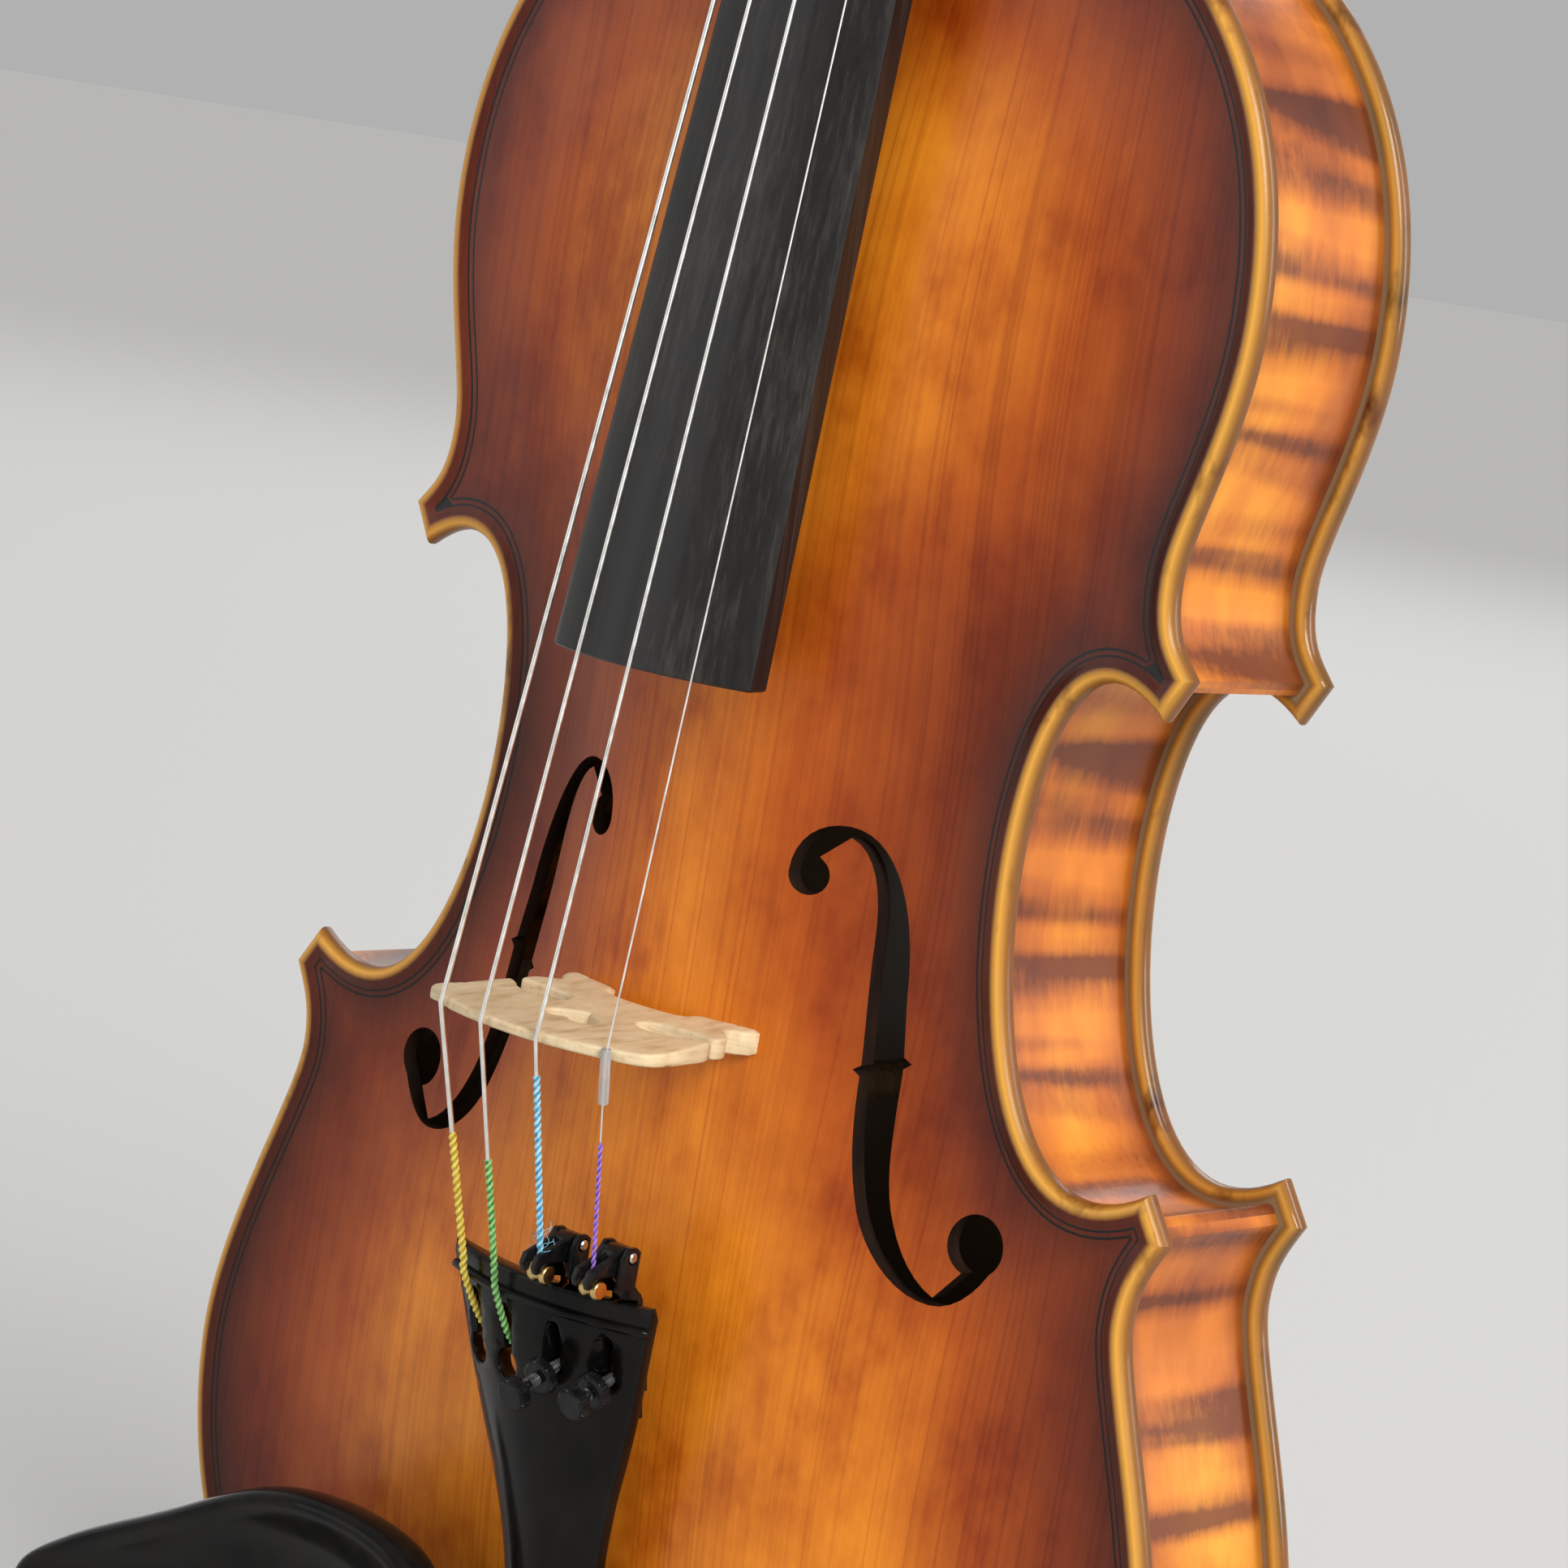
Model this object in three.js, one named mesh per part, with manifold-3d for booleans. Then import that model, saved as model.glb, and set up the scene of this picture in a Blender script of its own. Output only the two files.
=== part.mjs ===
// Violin, full size (4/4): body, neck and scroll, bridge, strings, tailpiece with
// two string adjusters, pegs and a clamped chinrest.
//
// Millimetres. +Z runs up the neck, the top plate faces -Y, the treble side is +X.
// The origin is the centre of the end button's outer face.

import * as THREE from 'three';
import { mergeVertices } from 'three/addons/utils/BufferGeometryUtils.js';
import Module from 'manifold-3d';

const wasm = await Module();
wasm.setup();

// ---------------------------------------------------------------- dimensions

const GAP = 0.3;                  // clearance between neighbouring pieces

const BODY_BOTTOM = 11;           // z of the plates' lower edge
const BODY_TOP = 366;             // z of the plates' upper edge
const RIB_HALF = 16;              // half of the rib height
const RIB_THICK = 1.2;
const OVERHANG = 3;               // plate edge beyond the rib's outer face
const RIM = RIB_HALF + GAP;       // |y| of the plates' glue face
const EDGE_THICK = 4.2;           // plate thickness at its rounded edge
const CHANNEL = 3.4;              // height of the fluting's lowest line
const CHANNEL_INSET = 5;          // distance of that line from the edge
const PLATE_THICK = 3;
const TOP_ARCH = 12.1;            // arch of the top plate above the fluting
const BACK_ARCH = 11;             // arch of the back plate above the fluting
const ARCH_CENTRE = 190;          // z of the highest point of both arches

const BRIDGE_Z = 170.4;
const BRIDGE_X = -1.3;            // the bridge stands a little to the bass side
const BRIDGE_BACK_Z = 169.6;      // its flat face on the tailpiece side
const BRIDGE_FOOT_THICK = 4.1;
const BRIDGE_TOP_THICK = 1.6;
const STRING_AT_BRIDGE = [        // x, y of each string over the bridge: G D A E
  [-18.65, -62.5], [-7.1, -65.4], [4.5, -65.1], [16.05, -61.7],
];

const NUT_Z = 495.5;              // edge of the nut on the fingerboard side
const NUT_LENGTH = 5.5;
const STRING_AT_NUT = [-8.3, -2.8, 2.8, 8.3];
const NUT_STRING_Y = -18.4;
const STRING_RADIUS = [0.42, 0.38, 0.35, 0.14];

const BOARD_Z = 227.75;           // free end of the fingerboard
const BOARD_RADIUS = 42;
const BOARD_HALF = [20.7, 12];    // half width at the free end and at the nut
const BOARD_APEX = [-52.8, -17];  // y of the crown at the free end and the nut
const BOARD_SIDE = 4.7;

const NECK_HALF_ROOT = 17;        // half width of the neck where it meets the body
const HEEL_HALF = 10.2;           // half width of the heel at the button
const MORTISE = 6;                // depth of the neck root in the upper block

const PEGBOX_END = 563;
const EYE = [7, 582];             // y, z of the scroll's eye
const SCROLL_RADIUS = 21;
const PEGS = [                    // name, y, z, side of the head, height of the winding
  { name: 'g', y: -1, z: 514, side: -1, coil: -3.2 },
  { name: 'd', y: 5, z: 541, side: -1, coil: -1.6 },
  { name: 'a', y: 8, z: 554, side: 1, coil: 1.2 },
  { name: 'e', y: 2, z: 527.5, side: 1, coil: 3.4 },
];

const TAIL_TOP_Z = 130.5;         // wide end of the tailpiece
const TAIL_END_Z = 22;            // narrow end of the tailpiece
const TAIL_TOP_Y = -48.3;         // y of its side edges at the wide end
const TAIL_SLOPE = 0.2137;
const TAIL_STRING_X = [-14.5, -5.5, 5.4, 14.7];
const FRET_Z = 126.5;

const BALL_Z = 132.8;             // ball ends held by the string adjusters
const TUNER_Z = 116.6;            // where an adjuster's screw meets the tailpiece
const TUNER_TILT = 0.385;         // lean of the screw, radians from -Y
const TUNERS = {                  // y of the ball, y and z of the lever's pin, height of the head
  a: { ball: -56.6, pin: [-50.9, 137.6], out: 7.4 },
  e: { ball: -54.7, pin: [-49.7, 138], out: 5.8 },
};

const BUTTON_RADIUS = 7;

// ---------------------------------------------------------------- materials

const paint = (color, roughness, metalness = 0) =>
  new THREE.MeshStandardMaterial({ color, roughness, metalness });

const SPRUCE = paint(0xc4701a, 0.32);
const MAPLE = paint(0xa8500f, 0.3);
const NECK_MAPLE = paint(0xb9742f, 0.45);
const EBONY = paint(0x17130f, 0.38);
const BLACK_VARNISH = paint(0x0d0b0a, 0.22);
const BARE_MAPLE = paint(0xcda671, 0.62);
const BARE_SPRUCE = paint(0xd2b183, 0.75);
const WILLOW = paint(0xc2a070, 0.8);
const STEEL = paint(0xb9bcc2, 0.28, 1);
const BRASS = paint(0xc9a24c, 0.3, 1);
const BLACK_METAL = paint(0x101012, 0.35, 0.8);
const CORK = paint(0x9a6b3f, 0.9);
const NYLON = paint(0x141414, 0.5);
const CLEAR_PLASTIC = paint(0xe6e2d8, 0.35);

// ---------------------------------------------------------------- solid helpers

const model = new THREE.Group();

function place(name, geometry, material, parent = model) {
  const mesh = new THREE.Mesh(geometry, material);
  mesh.name = name;
  parent.add(mesh);
  return mesh;
}

function solid(geometry) {
  const bare = geometry.clone();
  for (const key of Object.keys(bare.attributes)) {
    if (key !== 'position') {
      bare.deleteAttribute(key);
    }
  }
  const merged = mergeVertices(bare, 1e-4);
  return new wasm.Manifold(new wasm.Mesh({
    numProp: 3,
    vertProperties: new Float32Array(merged.attributes.position.array),
    triVerts: new Uint32Array(merged.index.array),
  }));
}

function toGeometry(body) {
  const mesh = body.getMesh();
  const geometry = new THREE.BufferGeometry();
  geometry.setAttribute('position', new THREE.BufferAttribute(new Float32Array(mesh.vertProperties), 3));
  geometry.setIndex(new THREE.BufferAttribute(new Uint32Array(mesh.triVerts), 1));
  geometry.computeVertexNormals();
  return geometry;
}

function join(...parts) {
  return parts.map(solid).reduce((a, b) => a.add(b));
}

// Triangles that may face inwards as a whole are turned round.
function closed(positions, triangles) {
  let volume = 0;
  const corner = (i) => new THREE.Vector3(...positions[i]);
  for (const [a, b, c] of triangles) {
    volume += corner(a).dot(corner(b).cross(corner(c)));
  }
  const faces = volume < 0 ? triangles.map(([a, b, c]) => [a, c, b]) : triangles;
  const geometry = new THREE.BufferGeometry();
  geometry.setAttribute('position', new THREE.Float32BufferAttribute(positions.flat(), 3));
  geometry.setIndex(faces.flat());
  geometry.computeVertexNormals();
  return geometry;
}

// A closed body through sections that all have the same number of points.
function loft(sections) {
  const count = sections[0].length;
  const positions = sections.flat().map((p) => [...p]);
  const triangles = [];
  for (let i = 0; i < sections.length - 1; i += 1) {
    for (let j = 0; j < count; j += 1) {
      const a = i * count + j;
      const b = i * count + (j + 1) % count;
      triangles.push([a, b, b + count], [a, b + count, a + count]);
    }
  }
  const ends = [[0, true], [sections.length - 1, false]];
  for (const [index, first] of ends) {
    const ring = sections[index];
    const centre = [0, 1, 2].map((k) => ring.reduce((sum, p) => sum + p[k], 0) / count);
    positions.push(centre);
    const hub = positions.length - 1;
    for (let j = 0; j < count; j += 1) {
      const a = index * count + j;
      const b = index * count + (j + 1) % count;
      triangles.push(first ? [hub, b, a] : [hub, a, b]);
    }
  }
  return closed(positions, triangles);
}

const shapeOf = (points) => new THREE.Shape(points.map(([x, y]) => new THREE.Vector2(x, y)));

// Prisms of a flat outline: across the body (x, z), along the side (y, z), across (x, y).
function slabXZ(shape, back, front, extra = {}) {
  const geometry = new THREE.ExtrudeGeometry(shape, {
    depth: back - front, bevelEnabled: false, curveSegments: 6, ...extra,
  });
  geometry.rotateX(Math.PI / 2);
  geometry.translate(0, back, 0);
  return geometry;
}

function slabYZ(shape, x0, x1, extra = {}) {
  const geometry = new THREE.ExtrudeGeometry(shape, {
    depth: x1 - x0, bevelEnabled: false, curveSegments: 6, ...extra,
  });
  const turn = new THREE.Matrix4().makeBasis(
    new THREE.Vector3(0, 1, 0), new THREE.Vector3(0, 0, 1), new THREE.Vector3(1, 0, 0));
  geometry.applyMatrix4(turn);
  geometry.translate(x0, 0, 0);
  return geometry;
}

function slabXY(shape, z0, z1, extra = {}) {
  const geometry = new THREE.ExtrudeGeometry(shape, {
    depth: z1 - z0, bevelEnabled: false, curveSegments: 6, ...extra,
  });
  geometry.translate(0, 0, z0);
  return geometry;
}

function block(x0, x1, y0, y1, z0, z1) {
  const geometry = new THREE.BoxGeometry(x1 - x0, y1 - y0, z1 - z0);
  geometry.translate((x0 + x1) / 2, (y0 + y1) / 2, (z0 + z1) / 2);
  return geometry;
}

function rod(from, to, radius, sides = 12) {
  const a = new THREE.Vector3(...from);
  const b = new THREE.Vector3(...to);
  const geometry = new THREE.CylinderGeometry(radius, radius, a.distanceTo(b), sides);
  const turn = new THREE.Quaternion().setFromUnitVectors(
    new THREE.Vector3(0, 1, 0), b.clone().sub(a).normalize());
  geometry.applyQuaternion(turn);
  geometry.translate(...a.add(b).multiplyScalar(0.5).toArray());
  return geometry;
}

// A lathe round the axis from a point along a direction; profile is [radius, distance].
function turned(profile, origin, direction, sides = 16) {
  const points = profile.map(([r, h]) => new THREE.Vector2(r, h));
  const geometry = new THREE.LatheGeometry(points, sides);
  const turn = new THREE.Quaternion().setFromUnitVectors(
    new THREE.Vector3(0, 1, 0), new THREE.Vector3(...direction).normalize());
  geometry.applyQuaternion(turn);
  geometry.translate(...origin);
  return geometry;
}

// A route through given points; each step of the sweep lands on one of them.
class Route extends THREE.Curve {
  constructor(points) {
    super();
    this.points = points.map((p) => new THREE.Vector3(...p));
  }

  getPoint(t, target = new THREE.Vector3()) {
    const last = this.points.length - 1;
    const place0 = Math.min(Math.max(t, 0), 1) * last;
    const i = Math.min(Math.floor(place0), last - 1);
    return target.lerpVectors(this.points[i], this.points[i + 1], place0 - i);
  }

  getUtoTmapping(u) {
    return u;
  }
}

function tube(points, radius, sides = 8) {
  const section = [];
  for (let i = 0; i < sides; i += 1) {
    const angle = (i / sides) * 2 * Math.PI;
    section.push([radius * Math.cos(angle), radius * Math.sin(angle)]);
  }
  return new THREE.ExtrudeGeometry(shapeOf(section), {
    steps: points.length - 1, extrudePath: new Route(points),
  });
}

const mix = (a, b, t) => a + (b - a) * t;

// ---------------------------------------------------------------- body outline

// Cubic curves of the treble half, (x, z), from the tail centre to the neck centre.
const LOWER_BOUT = [
  [[0, BODY_BOTTOM], [72.4, BODY_BOTTOM], [103.9, 47.7], [103.9, 89]],
  [[103.9, 89], [103.9, 109.6], [89.6, 135.9], [89.6, 145]],
  [[89.6, 145], [89.6, 150.9], [91.1, 153.4], [94, 158.5]],
];
const MIDDLE_BOUT = [
  [[89.5, 165.3], [65.3, 149.1], [55.2, 184.4], [55.2, 208]],
  [[55.2, 208], [55.2, 227.6], [61, 247.7], [77.8, 234.9]],
];
const UPPER_BOUT = [
  [[81.7, 241.7], [78.6, 245.5], [75.7, 247.3], [75.7, 256]],
  [[75.7, 256], [75.7, 263.9], [82.9, 278.2], [82.9, 295]],
  [[82.9, 295], [82.9, 334.8], [55.6, BODY_TOP], [0, BODY_TOP]],
];
const STEPS = [[7, 5, 3], [7, 7], [3, 4, 7]];

const bezier = ([a, b, c, d], t, k) => {
  const u = 1 - t;
  return u * u * u * a[k] + 3 * u * u * t * b[k] + 3 * u * t * t * c[k] + t * t * t * d[k];
};

// One smooth run of the outline moved inwards by a distance.
function insetRun(curves, steps, distance) {
  const points = [];
  curves.forEach((curve, index) => {
    for (let i = index === 0 ? 0 : 1; i <= steps[index]; i += 1) {
      const t = i / steps[index];
      const a = Math.max(t - 0.005, 0);
      const b = Math.min(t + 0.005, 1);
      const dx = bezier(curve, b, 0) - bezier(curve, a, 0);
      const dz = bezier(curve, b, 1) - bezier(curve, a, 1);
      const long = Math.hypot(dx, dz);
      points.push([
        bezier(curve, t, 0) - (dz / long) * distance,
        bezier(curve, t, 1) + (dx / long) * distance,
      ]);
    }
  });
  return points;
}

function crossing(p, q, r, s) {
  const det = (q[0] - p[0]) * (s[1] - r[1]) - (q[1] - p[1]) * (s[0] - r[0]);
  if (Math.abs(det) < 1e-9) {
    return null;
  }
  const t = ((r[0] - p[0]) * (s[1] - r[1]) - (r[1] - p[1]) * (s[0] - r[0])) / det;
  const u = ((r[0] - p[0]) * (q[1] - p[1]) - (r[1] - p[1]) * (q[0] - p[0])) / det;
  if (t < 0 || t > 1 || u < 0 || u > 1) {
    return null;
  }
  return [mix(p[0], q[0], t), mix(p[1], q[1], t)];
}

// Two runs that meet at a corner are cut where they cross, or at the corner's end line.
function trimCorner(before, after, endA, endB, distance) {
  const long = Math.hypot(endB[0] - endA[0], endB[1] - endA[1]);
  const inward = [-(endB[1] - endA[1]) / long, (endB[0] - endA[0]) / long];
  const depth = (p) => (p[0] - endA[0]) * inward[0] + (p[1] - endA[1]) * inward[1] - distance;
  const cut = (run) => {
    const kept = [...run];
    while (kept.length > 2 && depth(kept[kept.length - 2]) < 0) {
      kept.pop();
    }
    const p = kept[kept.length - 2];
    const q = kept[kept.length - 1];
    if (depth(q) < -1e-6) {
      const t = depth(p) / (depth(p) - depth(q));
      kept[kept.length - 1] = [mix(p[0], q[0], t), mix(p[1], q[1], t)];
    }
    return kept;
  };
  let first = cut(before);
  let second = cut([...after].reverse()).reverse();
  for (let i = first.length - 1; i > 0; i -= 1) {
    for (let j = 0; j < second.length - 1; j += 1) {
      const hit = crossing(first[i - 1], first[i], second[j], second[j + 1]);
      if (hit) {
        first = [...first.slice(0, i), hit];
        second = [hit, ...second.slice(j + 1)];
        return { first, second, crossed: true };
      }
    }
  }
  return { first, second, crossed: false };
}

const LOWER_CORNER = [LOWER_BOUT[2][3], MIDDLE_BOUT[0][0]];
const UPPER_CORNER = [MIDDLE_BOUT[1][3], UPPER_BOUT[0][0]];

// The three runs of the treble half at a distance inside the edge.
function halfRuns(distance) {
  const lower = insetRun(LOWER_BOUT, STEPS[0], distance);
  const middle = insetRun(MIDDLE_BOUT, STEPS[1], distance);
  const upper = insetRun(UPPER_BOUT, STEPS[2], distance);
  const low = trimCorner(lower, middle, ...LOWER_CORNER, distance);
  const high = trimCorner(low.second, upper, ...UPPER_CORNER, distance);
  return {
    lower: low.first,
    middle: high.first,
    upper: high.second,
    lowCrossed: low.crossed,
    highCrossed: high.crossed,
  };
}

// The whole closed outline at a distance inside the edge.
function outline(distance) {
  const runs = halfRuns(distance);
  const half = [...runs.lower];
  half.push(...(runs.lowCrossed ? runs.middle.slice(1) : runs.middle));
  half.push(...(runs.highCrossed ? runs.upper.slice(1) : runs.upper));
  half[0][0] = 0;
  half[half.length - 1][0] = 0;
  const mirror = half.slice(1, -1).reverse().map(([x, z]) => [-x, z]);
  return [...half, ...mirror];
}

// ---------------------------------------------------------------- arching

// Half width of the arched field: a smooth line inside the fluting, (z, x).
const FIELD = [
  [19, 0], [21.5, 26], [33, 56], [56, 83], [90, 94], [122, 85], [146, 70], [172, 55], [200, 47.5],
  [226, 49], [250, 60], [270, 70], [295, 75], [318, 71], [338, 56], [352, 32], [358, 0],
];

function fieldHalf(z) {
  if (z <= FIELD[0][0] || z >= FIELD[FIELD.length - 1][0]) {
    return 0;
  }
  const i = FIELD.findIndex((p) => p[0] > z);
  const at = (k) => FIELD[Math.min(Math.max(k, 0), FIELD.length - 1)];
  const slope = (k) => (at(k + 1)[1] - at(k - 1)[1]) / (at(k + 1)[0] - at(k - 1)[0]);
  const [p, q] = [at(i - 1), at(i)];
  const span = q[0] - p[0];
  const t = (z - p[0]) / span;
  const h = [2 * t ** 3 - 3 * t ** 2 + 1, t ** 3 - 2 * t ** 2 + t, -2 * t ** 3 + 3 * t ** 2, t ** 3 - t ** 2];
  return Math.max(0, h[0] * p[1] + h[1] * span * slope(i - 1) + h[2] * q[1] + h[3] * span * slope(i));
}

// 0 at the fluting, 1 at the highest point.
function arch(x, z) {
  const half = fieldHalf(z);
  if (half < 1e-6) {
    return 0;
  }
  const across = Math.min(Math.abs(x) / half, 1);
  const end = z < ARCH_CENTRE ? FIELD[0][0] : FIELD[FIELD.length - 1][0];
  const along = Math.min(Math.abs(z - ARCH_CENTRE) / Math.abs(end - ARCH_CENTRE), 1);
  return ((1 + Math.cos(Math.PI * across ** 1.2)) / 2) * ((1 + Math.cos(Math.PI * along ** 2.3)) / 2);
}

const topSurface = (x, z) => -(RIM + CHANNEL + TOP_ARCH * arch(x, z));
const topInside = (x, z) => topSurface(x, z) + PLATE_THICK;
const backInside = (x, z) => RIM + CHANNEL + BACK_ARCH * arch(x, z) - PLATE_THICK;

// ---------------------------------------------------------------- plates

const FIELD_POINTS = 32;
const FIELD_RINGS = [1, 0.86, 0.7, 0.5, 0.28];

function fieldRing(scale) {
  const ring = [];
  for (let i = 0; i < FIELD_POINTS; i += 1) {
    const angle = (i / FIELD_POINTS) * 2 * Math.PI;
    const bottom = FIELD[0][0];
    const top = FIELD[FIELD.length - 1][0];
    const z = mix(bottom, top, (1 - Math.cos(angle)) / 2);
    const x = fieldHalf(z) * Math.sign(Math.sin(angle) + 1e-12);
    ring.push([x * scale, ARCH_CENTRE + (z - ARCH_CENTRE) * scale]);
  }
  ring[0][0] = 0;
  ring[FIELD_POINTS / 2][0] = 0;
  return ring;
}

// A plate from its glue face outwards; side is -1 for the top plate and 1 for the back.
function plateBody(side, archHeight) {
  const positions = [];
  const triangles = [];
  const add = (ring, height) => {
    const start = positions.length;
    ring.forEach(([x, z]) => positions.push([x, side * (RIM + height(x, z)), z]));
    return { start, ring };
  };
  const band = (outer, inner, up) => {
    const contour = outer.ring.map(([x, z]) => new THREE.Vector2(x, z));
    const hole = inner.ring.map(([x, z]) => new THREE.Vector2(x, z));
    const index = (k) => (k < contour.length ? outer.start + k : inner.start + k - contour.length);
    for (const face of THREE.ShapeUtils.triangulateShape(contour, [hole])) {
      const [a, b, c] = face.map(index);
      const pa = positions[a];
      const pb = positions[b];
      const pc = positions[c];
      const turn = (pb[0] - pa[0]) * (pc[2] - pa[2]) - (pb[2] - pa[2]) * (pc[0] - pa[0]);
      triangles.push((turn > 0) === up ? [a, b, c] : [a, c, b]);
    }
  };
  const quads = (a, b, up) => {
    const n = a.ring.length;
    for (let j = 0; j < n; j += 1) {
      const k = (j + 1) % n;
      const four = [a.start + j, a.start + k, b.start + k, b.start + j];
      const faces = [[four[0], four[1], four[2]], [four[0], four[2], four[3]]];
      triangles.push(...(up ? faces : faces.map(([p, q, r]) => [p, r, q])));
    }
  };
  const cap = (ring, height, up) => {
    positions.push([0, side * (RIM + height(0, ARCH_CENTRE)), ARCH_CENTRE]);
    const hub = positions.length - 1;
    const n = ring.ring.length;
    for (let j = 0; j < n; j += 1) {
      const face = [ring.start + j, ring.start + (j + 1) % n, hub];
      triangles.push(up ? face : [face[0], face[2], face[1]]);
    }
  };
  const outer = (x, z) => CHANNEL + archHeight * arch(x, z);
  const inner = (x, z) => outer(x, z) - PLATE_THICK;
  const flat = (h) => () => h;
  const edge = outline(0);
  const rimLow = add(edge, flat(0));
  const rimHigh = add(edge, flat(2.8));
  const crest = add(outline(1.6), flat(EDGE_THICK));
  const flute = add(outline(CHANNEL_INSET), flat(CHANNEL));
  quads(rimLow, rimHigh, true);
  band(rimHigh, crest, true);
  band(crest, flute, true);
  const outside = FIELD_RINGS.map((s) => add(fieldRing(s), outer));
  const inside = FIELD_RINGS.map((s) => add(fieldRing(s), inner));
  band(flute, outside[0], true);
  band(rimLow, inside[0], false);
  for (let i = 0; i < FIELD_RINGS.length - 1; i += 1) {
    quads(outside[i], outside[i + 1], true);
    quads(inside[i], inside[i + 1], false);
  }
  cap(outside[outside.length - 1], outer, true);
  cap(inside[inside.length - 1], inner, false);
  return closed(positions, triangles);
}

// The sound hole on the treble side as a closed path in (x, z).
const UPPER_EYE = { x: 22.2, z: 199.5, r: 3.2 };
const LOWER_EYE = { x: 60.4, z: 149.4, r: 4.9 };

function soundHole() {
  const path = new THREE.Shape();
  path.moveTo(19, 199.5);
  path.bezierCurveTo(19, 204.8, 22.6, 208.2, 27.2, 208.2);
  path.bezierCurveTo(35, 208.2, 39.3, 196, 40.4, 184);
  path.lineTo(41.9, 174.7);
  path.lineTo(43.4, 173.9);
  path.lineTo(42.2, 172.9);
  path.bezierCurveTo(42.8, 164, 43.2, 155.5, 46.3, 149.4);
  path.bezierCurveTo(48.4, 145, 51.4, 141.4, 55.2, 139.9);
  path.lineTo(58.9, 144.7);
  path.absarc(LOWER_EYE.x, LOWER_EYE.z, LOWER_EYE.r, -1.9, -0.85 - 2 * Math.PI, true);
  path.bezierCurveTo(61.5, 141.6, 58.5, 138.7, 55, 138.6);
  path.bezierCurveTo(48, 138.4, 41.6, 145, 39.4, 151.8);
  path.bezierCurveTo(37.2, 157.6, 36.2, 164, 35.8, 170.3);
  path.lineTo(34.5, 171.1);
  path.lineTo(35.7, 172);
  path.bezierCurveTo(34.8, 180, 34, 186, 33.8, 191);
  path.bezierCurveTo(33.4, 199, 31.6, 205.2, 27.6, 206.5);
  path.lineTo(23.4, 202.6);
  path.absarc(UPPER_EYE.x, UPPER_EYE.z, UPPER_EYE.r, 1.2, -Math.PI, true);
  return path.getPoints(4).map((p) => [p.x, p.y]).slice(0, -1);
}

const HOLE = soundHole();
const MIRRORED_HOLE = HOLE.map(([x, z]) => [-x, z]);

// Trapezoid of the neck root seen along Z; grown by a clearance.
function rootShape(grow) {
  return shapeOf([
    [-NECK_HALF_ROOT - grow, -40], [NECK_HALF_ROOT + grow, -40],
    [NECK_HALF_ROOT + grow, -20], [HEEL_HALF + grow, RIM - GAP],
    [-HEEL_HALF - grow, RIM - GAP], [-NECK_HALF_ROOT - grow, -20],
  ]);
}

const rootCut = slabXY(rootShape(GAP), BODY_TOP - MORTISE - GAP, BODY_TOP + 30);
const saddleCut = block(-17.3, 17.3, -40, -RIM + 1, 0, 18.8);

let topPlate = solid(plateBody(-1, TOP_ARCH));
topPlate = topPlate.subtract(solid(slabXZ(shapeOf(HOLE), 0, -60)));
topPlate = topPlate.subtract(solid(slabXZ(shapeOf(MIRRORED_HOLE), 0, -60)));
topPlate = topPlate.subtract(solid(rootCut)).subtract(solid(saddleCut));
place('top_plate', toGeometry(topPlate), SPRUCE);

// The back carries a round button that covers the heel.
const BUTTON_HALF = 10.5;
const buttonShape = new THREE.Shape();
buttonShape.moveTo(-BUTTON_HALF, BODY_TOP - 6);
buttonShape.lineTo(BUTTON_HALF, BODY_TOP - 6);
buttonShape.lineTo(BUTTON_HALF, BODY_TOP + 2);
buttonShape.absarc(0, BODY_TOP + 2, BUTTON_HALF, 0, Math.PI, false);
const button = slabXZ(buttonShape, RIM + 4, RIM);
place('back_plate', toGeometry(join(plateBody(1, BACK_ARCH), button)), MAPLE);

// ---------------------------------------------------------------- ribs and blocks

const RIB_OUT = halfRuns(OVERHANG);
const RIB_IN = halfRuns(OVERHANG + RIB_THICK);
const BLOCK_OUT = halfRuns(OVERHANG + RIB_THICK + GAP);

// Points of a mitre between two ribs: the middle of their end line and the rib's own
// inner end, each moved a little to one side.
function mitre(outA, outB, inner, step) {
  const middle = [(outA[0] + outB[0]) / 2, (outA[1] + outB[1]) / 2];
  const long = Math.hypot(outB[0] - outA[0], outB[1] - outA[1]);
  const dir = [(outB[0] - outA[0]) / long * step, (outB[1] - outA[1]) / long * step];
  return [
    [middle[0] + dir[0], middle[1] + dir[1]],
    [inner[0] + dir[0], inner[1] + dir[1]],
  ];
}

function ribShapes() {
  const half = GAP / 2;
  const last = (run) => run[run.length - 1];
  const low = [last(RIB_OUT.lower), RIB_OUT.middle[0]];
  const high = [last(RIB_OUT.middle), RIB_OUT.upper[0]];
  const lowA = mitre(...low, last(RIB_IN.lower), -half);
  const lowB = mitre(...low, RIB_IN.middle[0], half);
  const highA = mitre(...high, last(RIB_IN.middle), -half);
  const highB = mitre(...high, RIB_IN.upper[0], half);
  const startLow = [[half, RIB_OUT.lower[0][1]], ...RIB_OUT.lower.slice(1)];
  const backLow = [...RIB_IN.lower.slice(1, -1).reverse(), [half, RIB_IN.lower[0][1]]];
  const upperOut = [...RIB_OUT.upper.slice(0, -1), [half, last(RIB_OUT.upper)[1]]];
  const upperIn = [[half, last(RIB_IN.upper)[1]], ...RIB_IN.upper.slice(1, -1).reverse()];
  return {
    lower: [...startLow, ...lowA, ...backLow],
    middle: [
      ...RIB_OUT.middle, ...highA, ...RIB_IN.middle.slice(1, -1).reverse(), ...[...lowB].reverse(),
    ],
    upper: [...upperOut, ...upperIn, ...[...highB].reverse()],
  };
}

const flip = (points) => points.map(([x, z]) => [-x, z]);
const ribs = ribShapes();
const pinHole = rod([0, 0, 5], [0, 0, 60], 4.4, 16);

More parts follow.
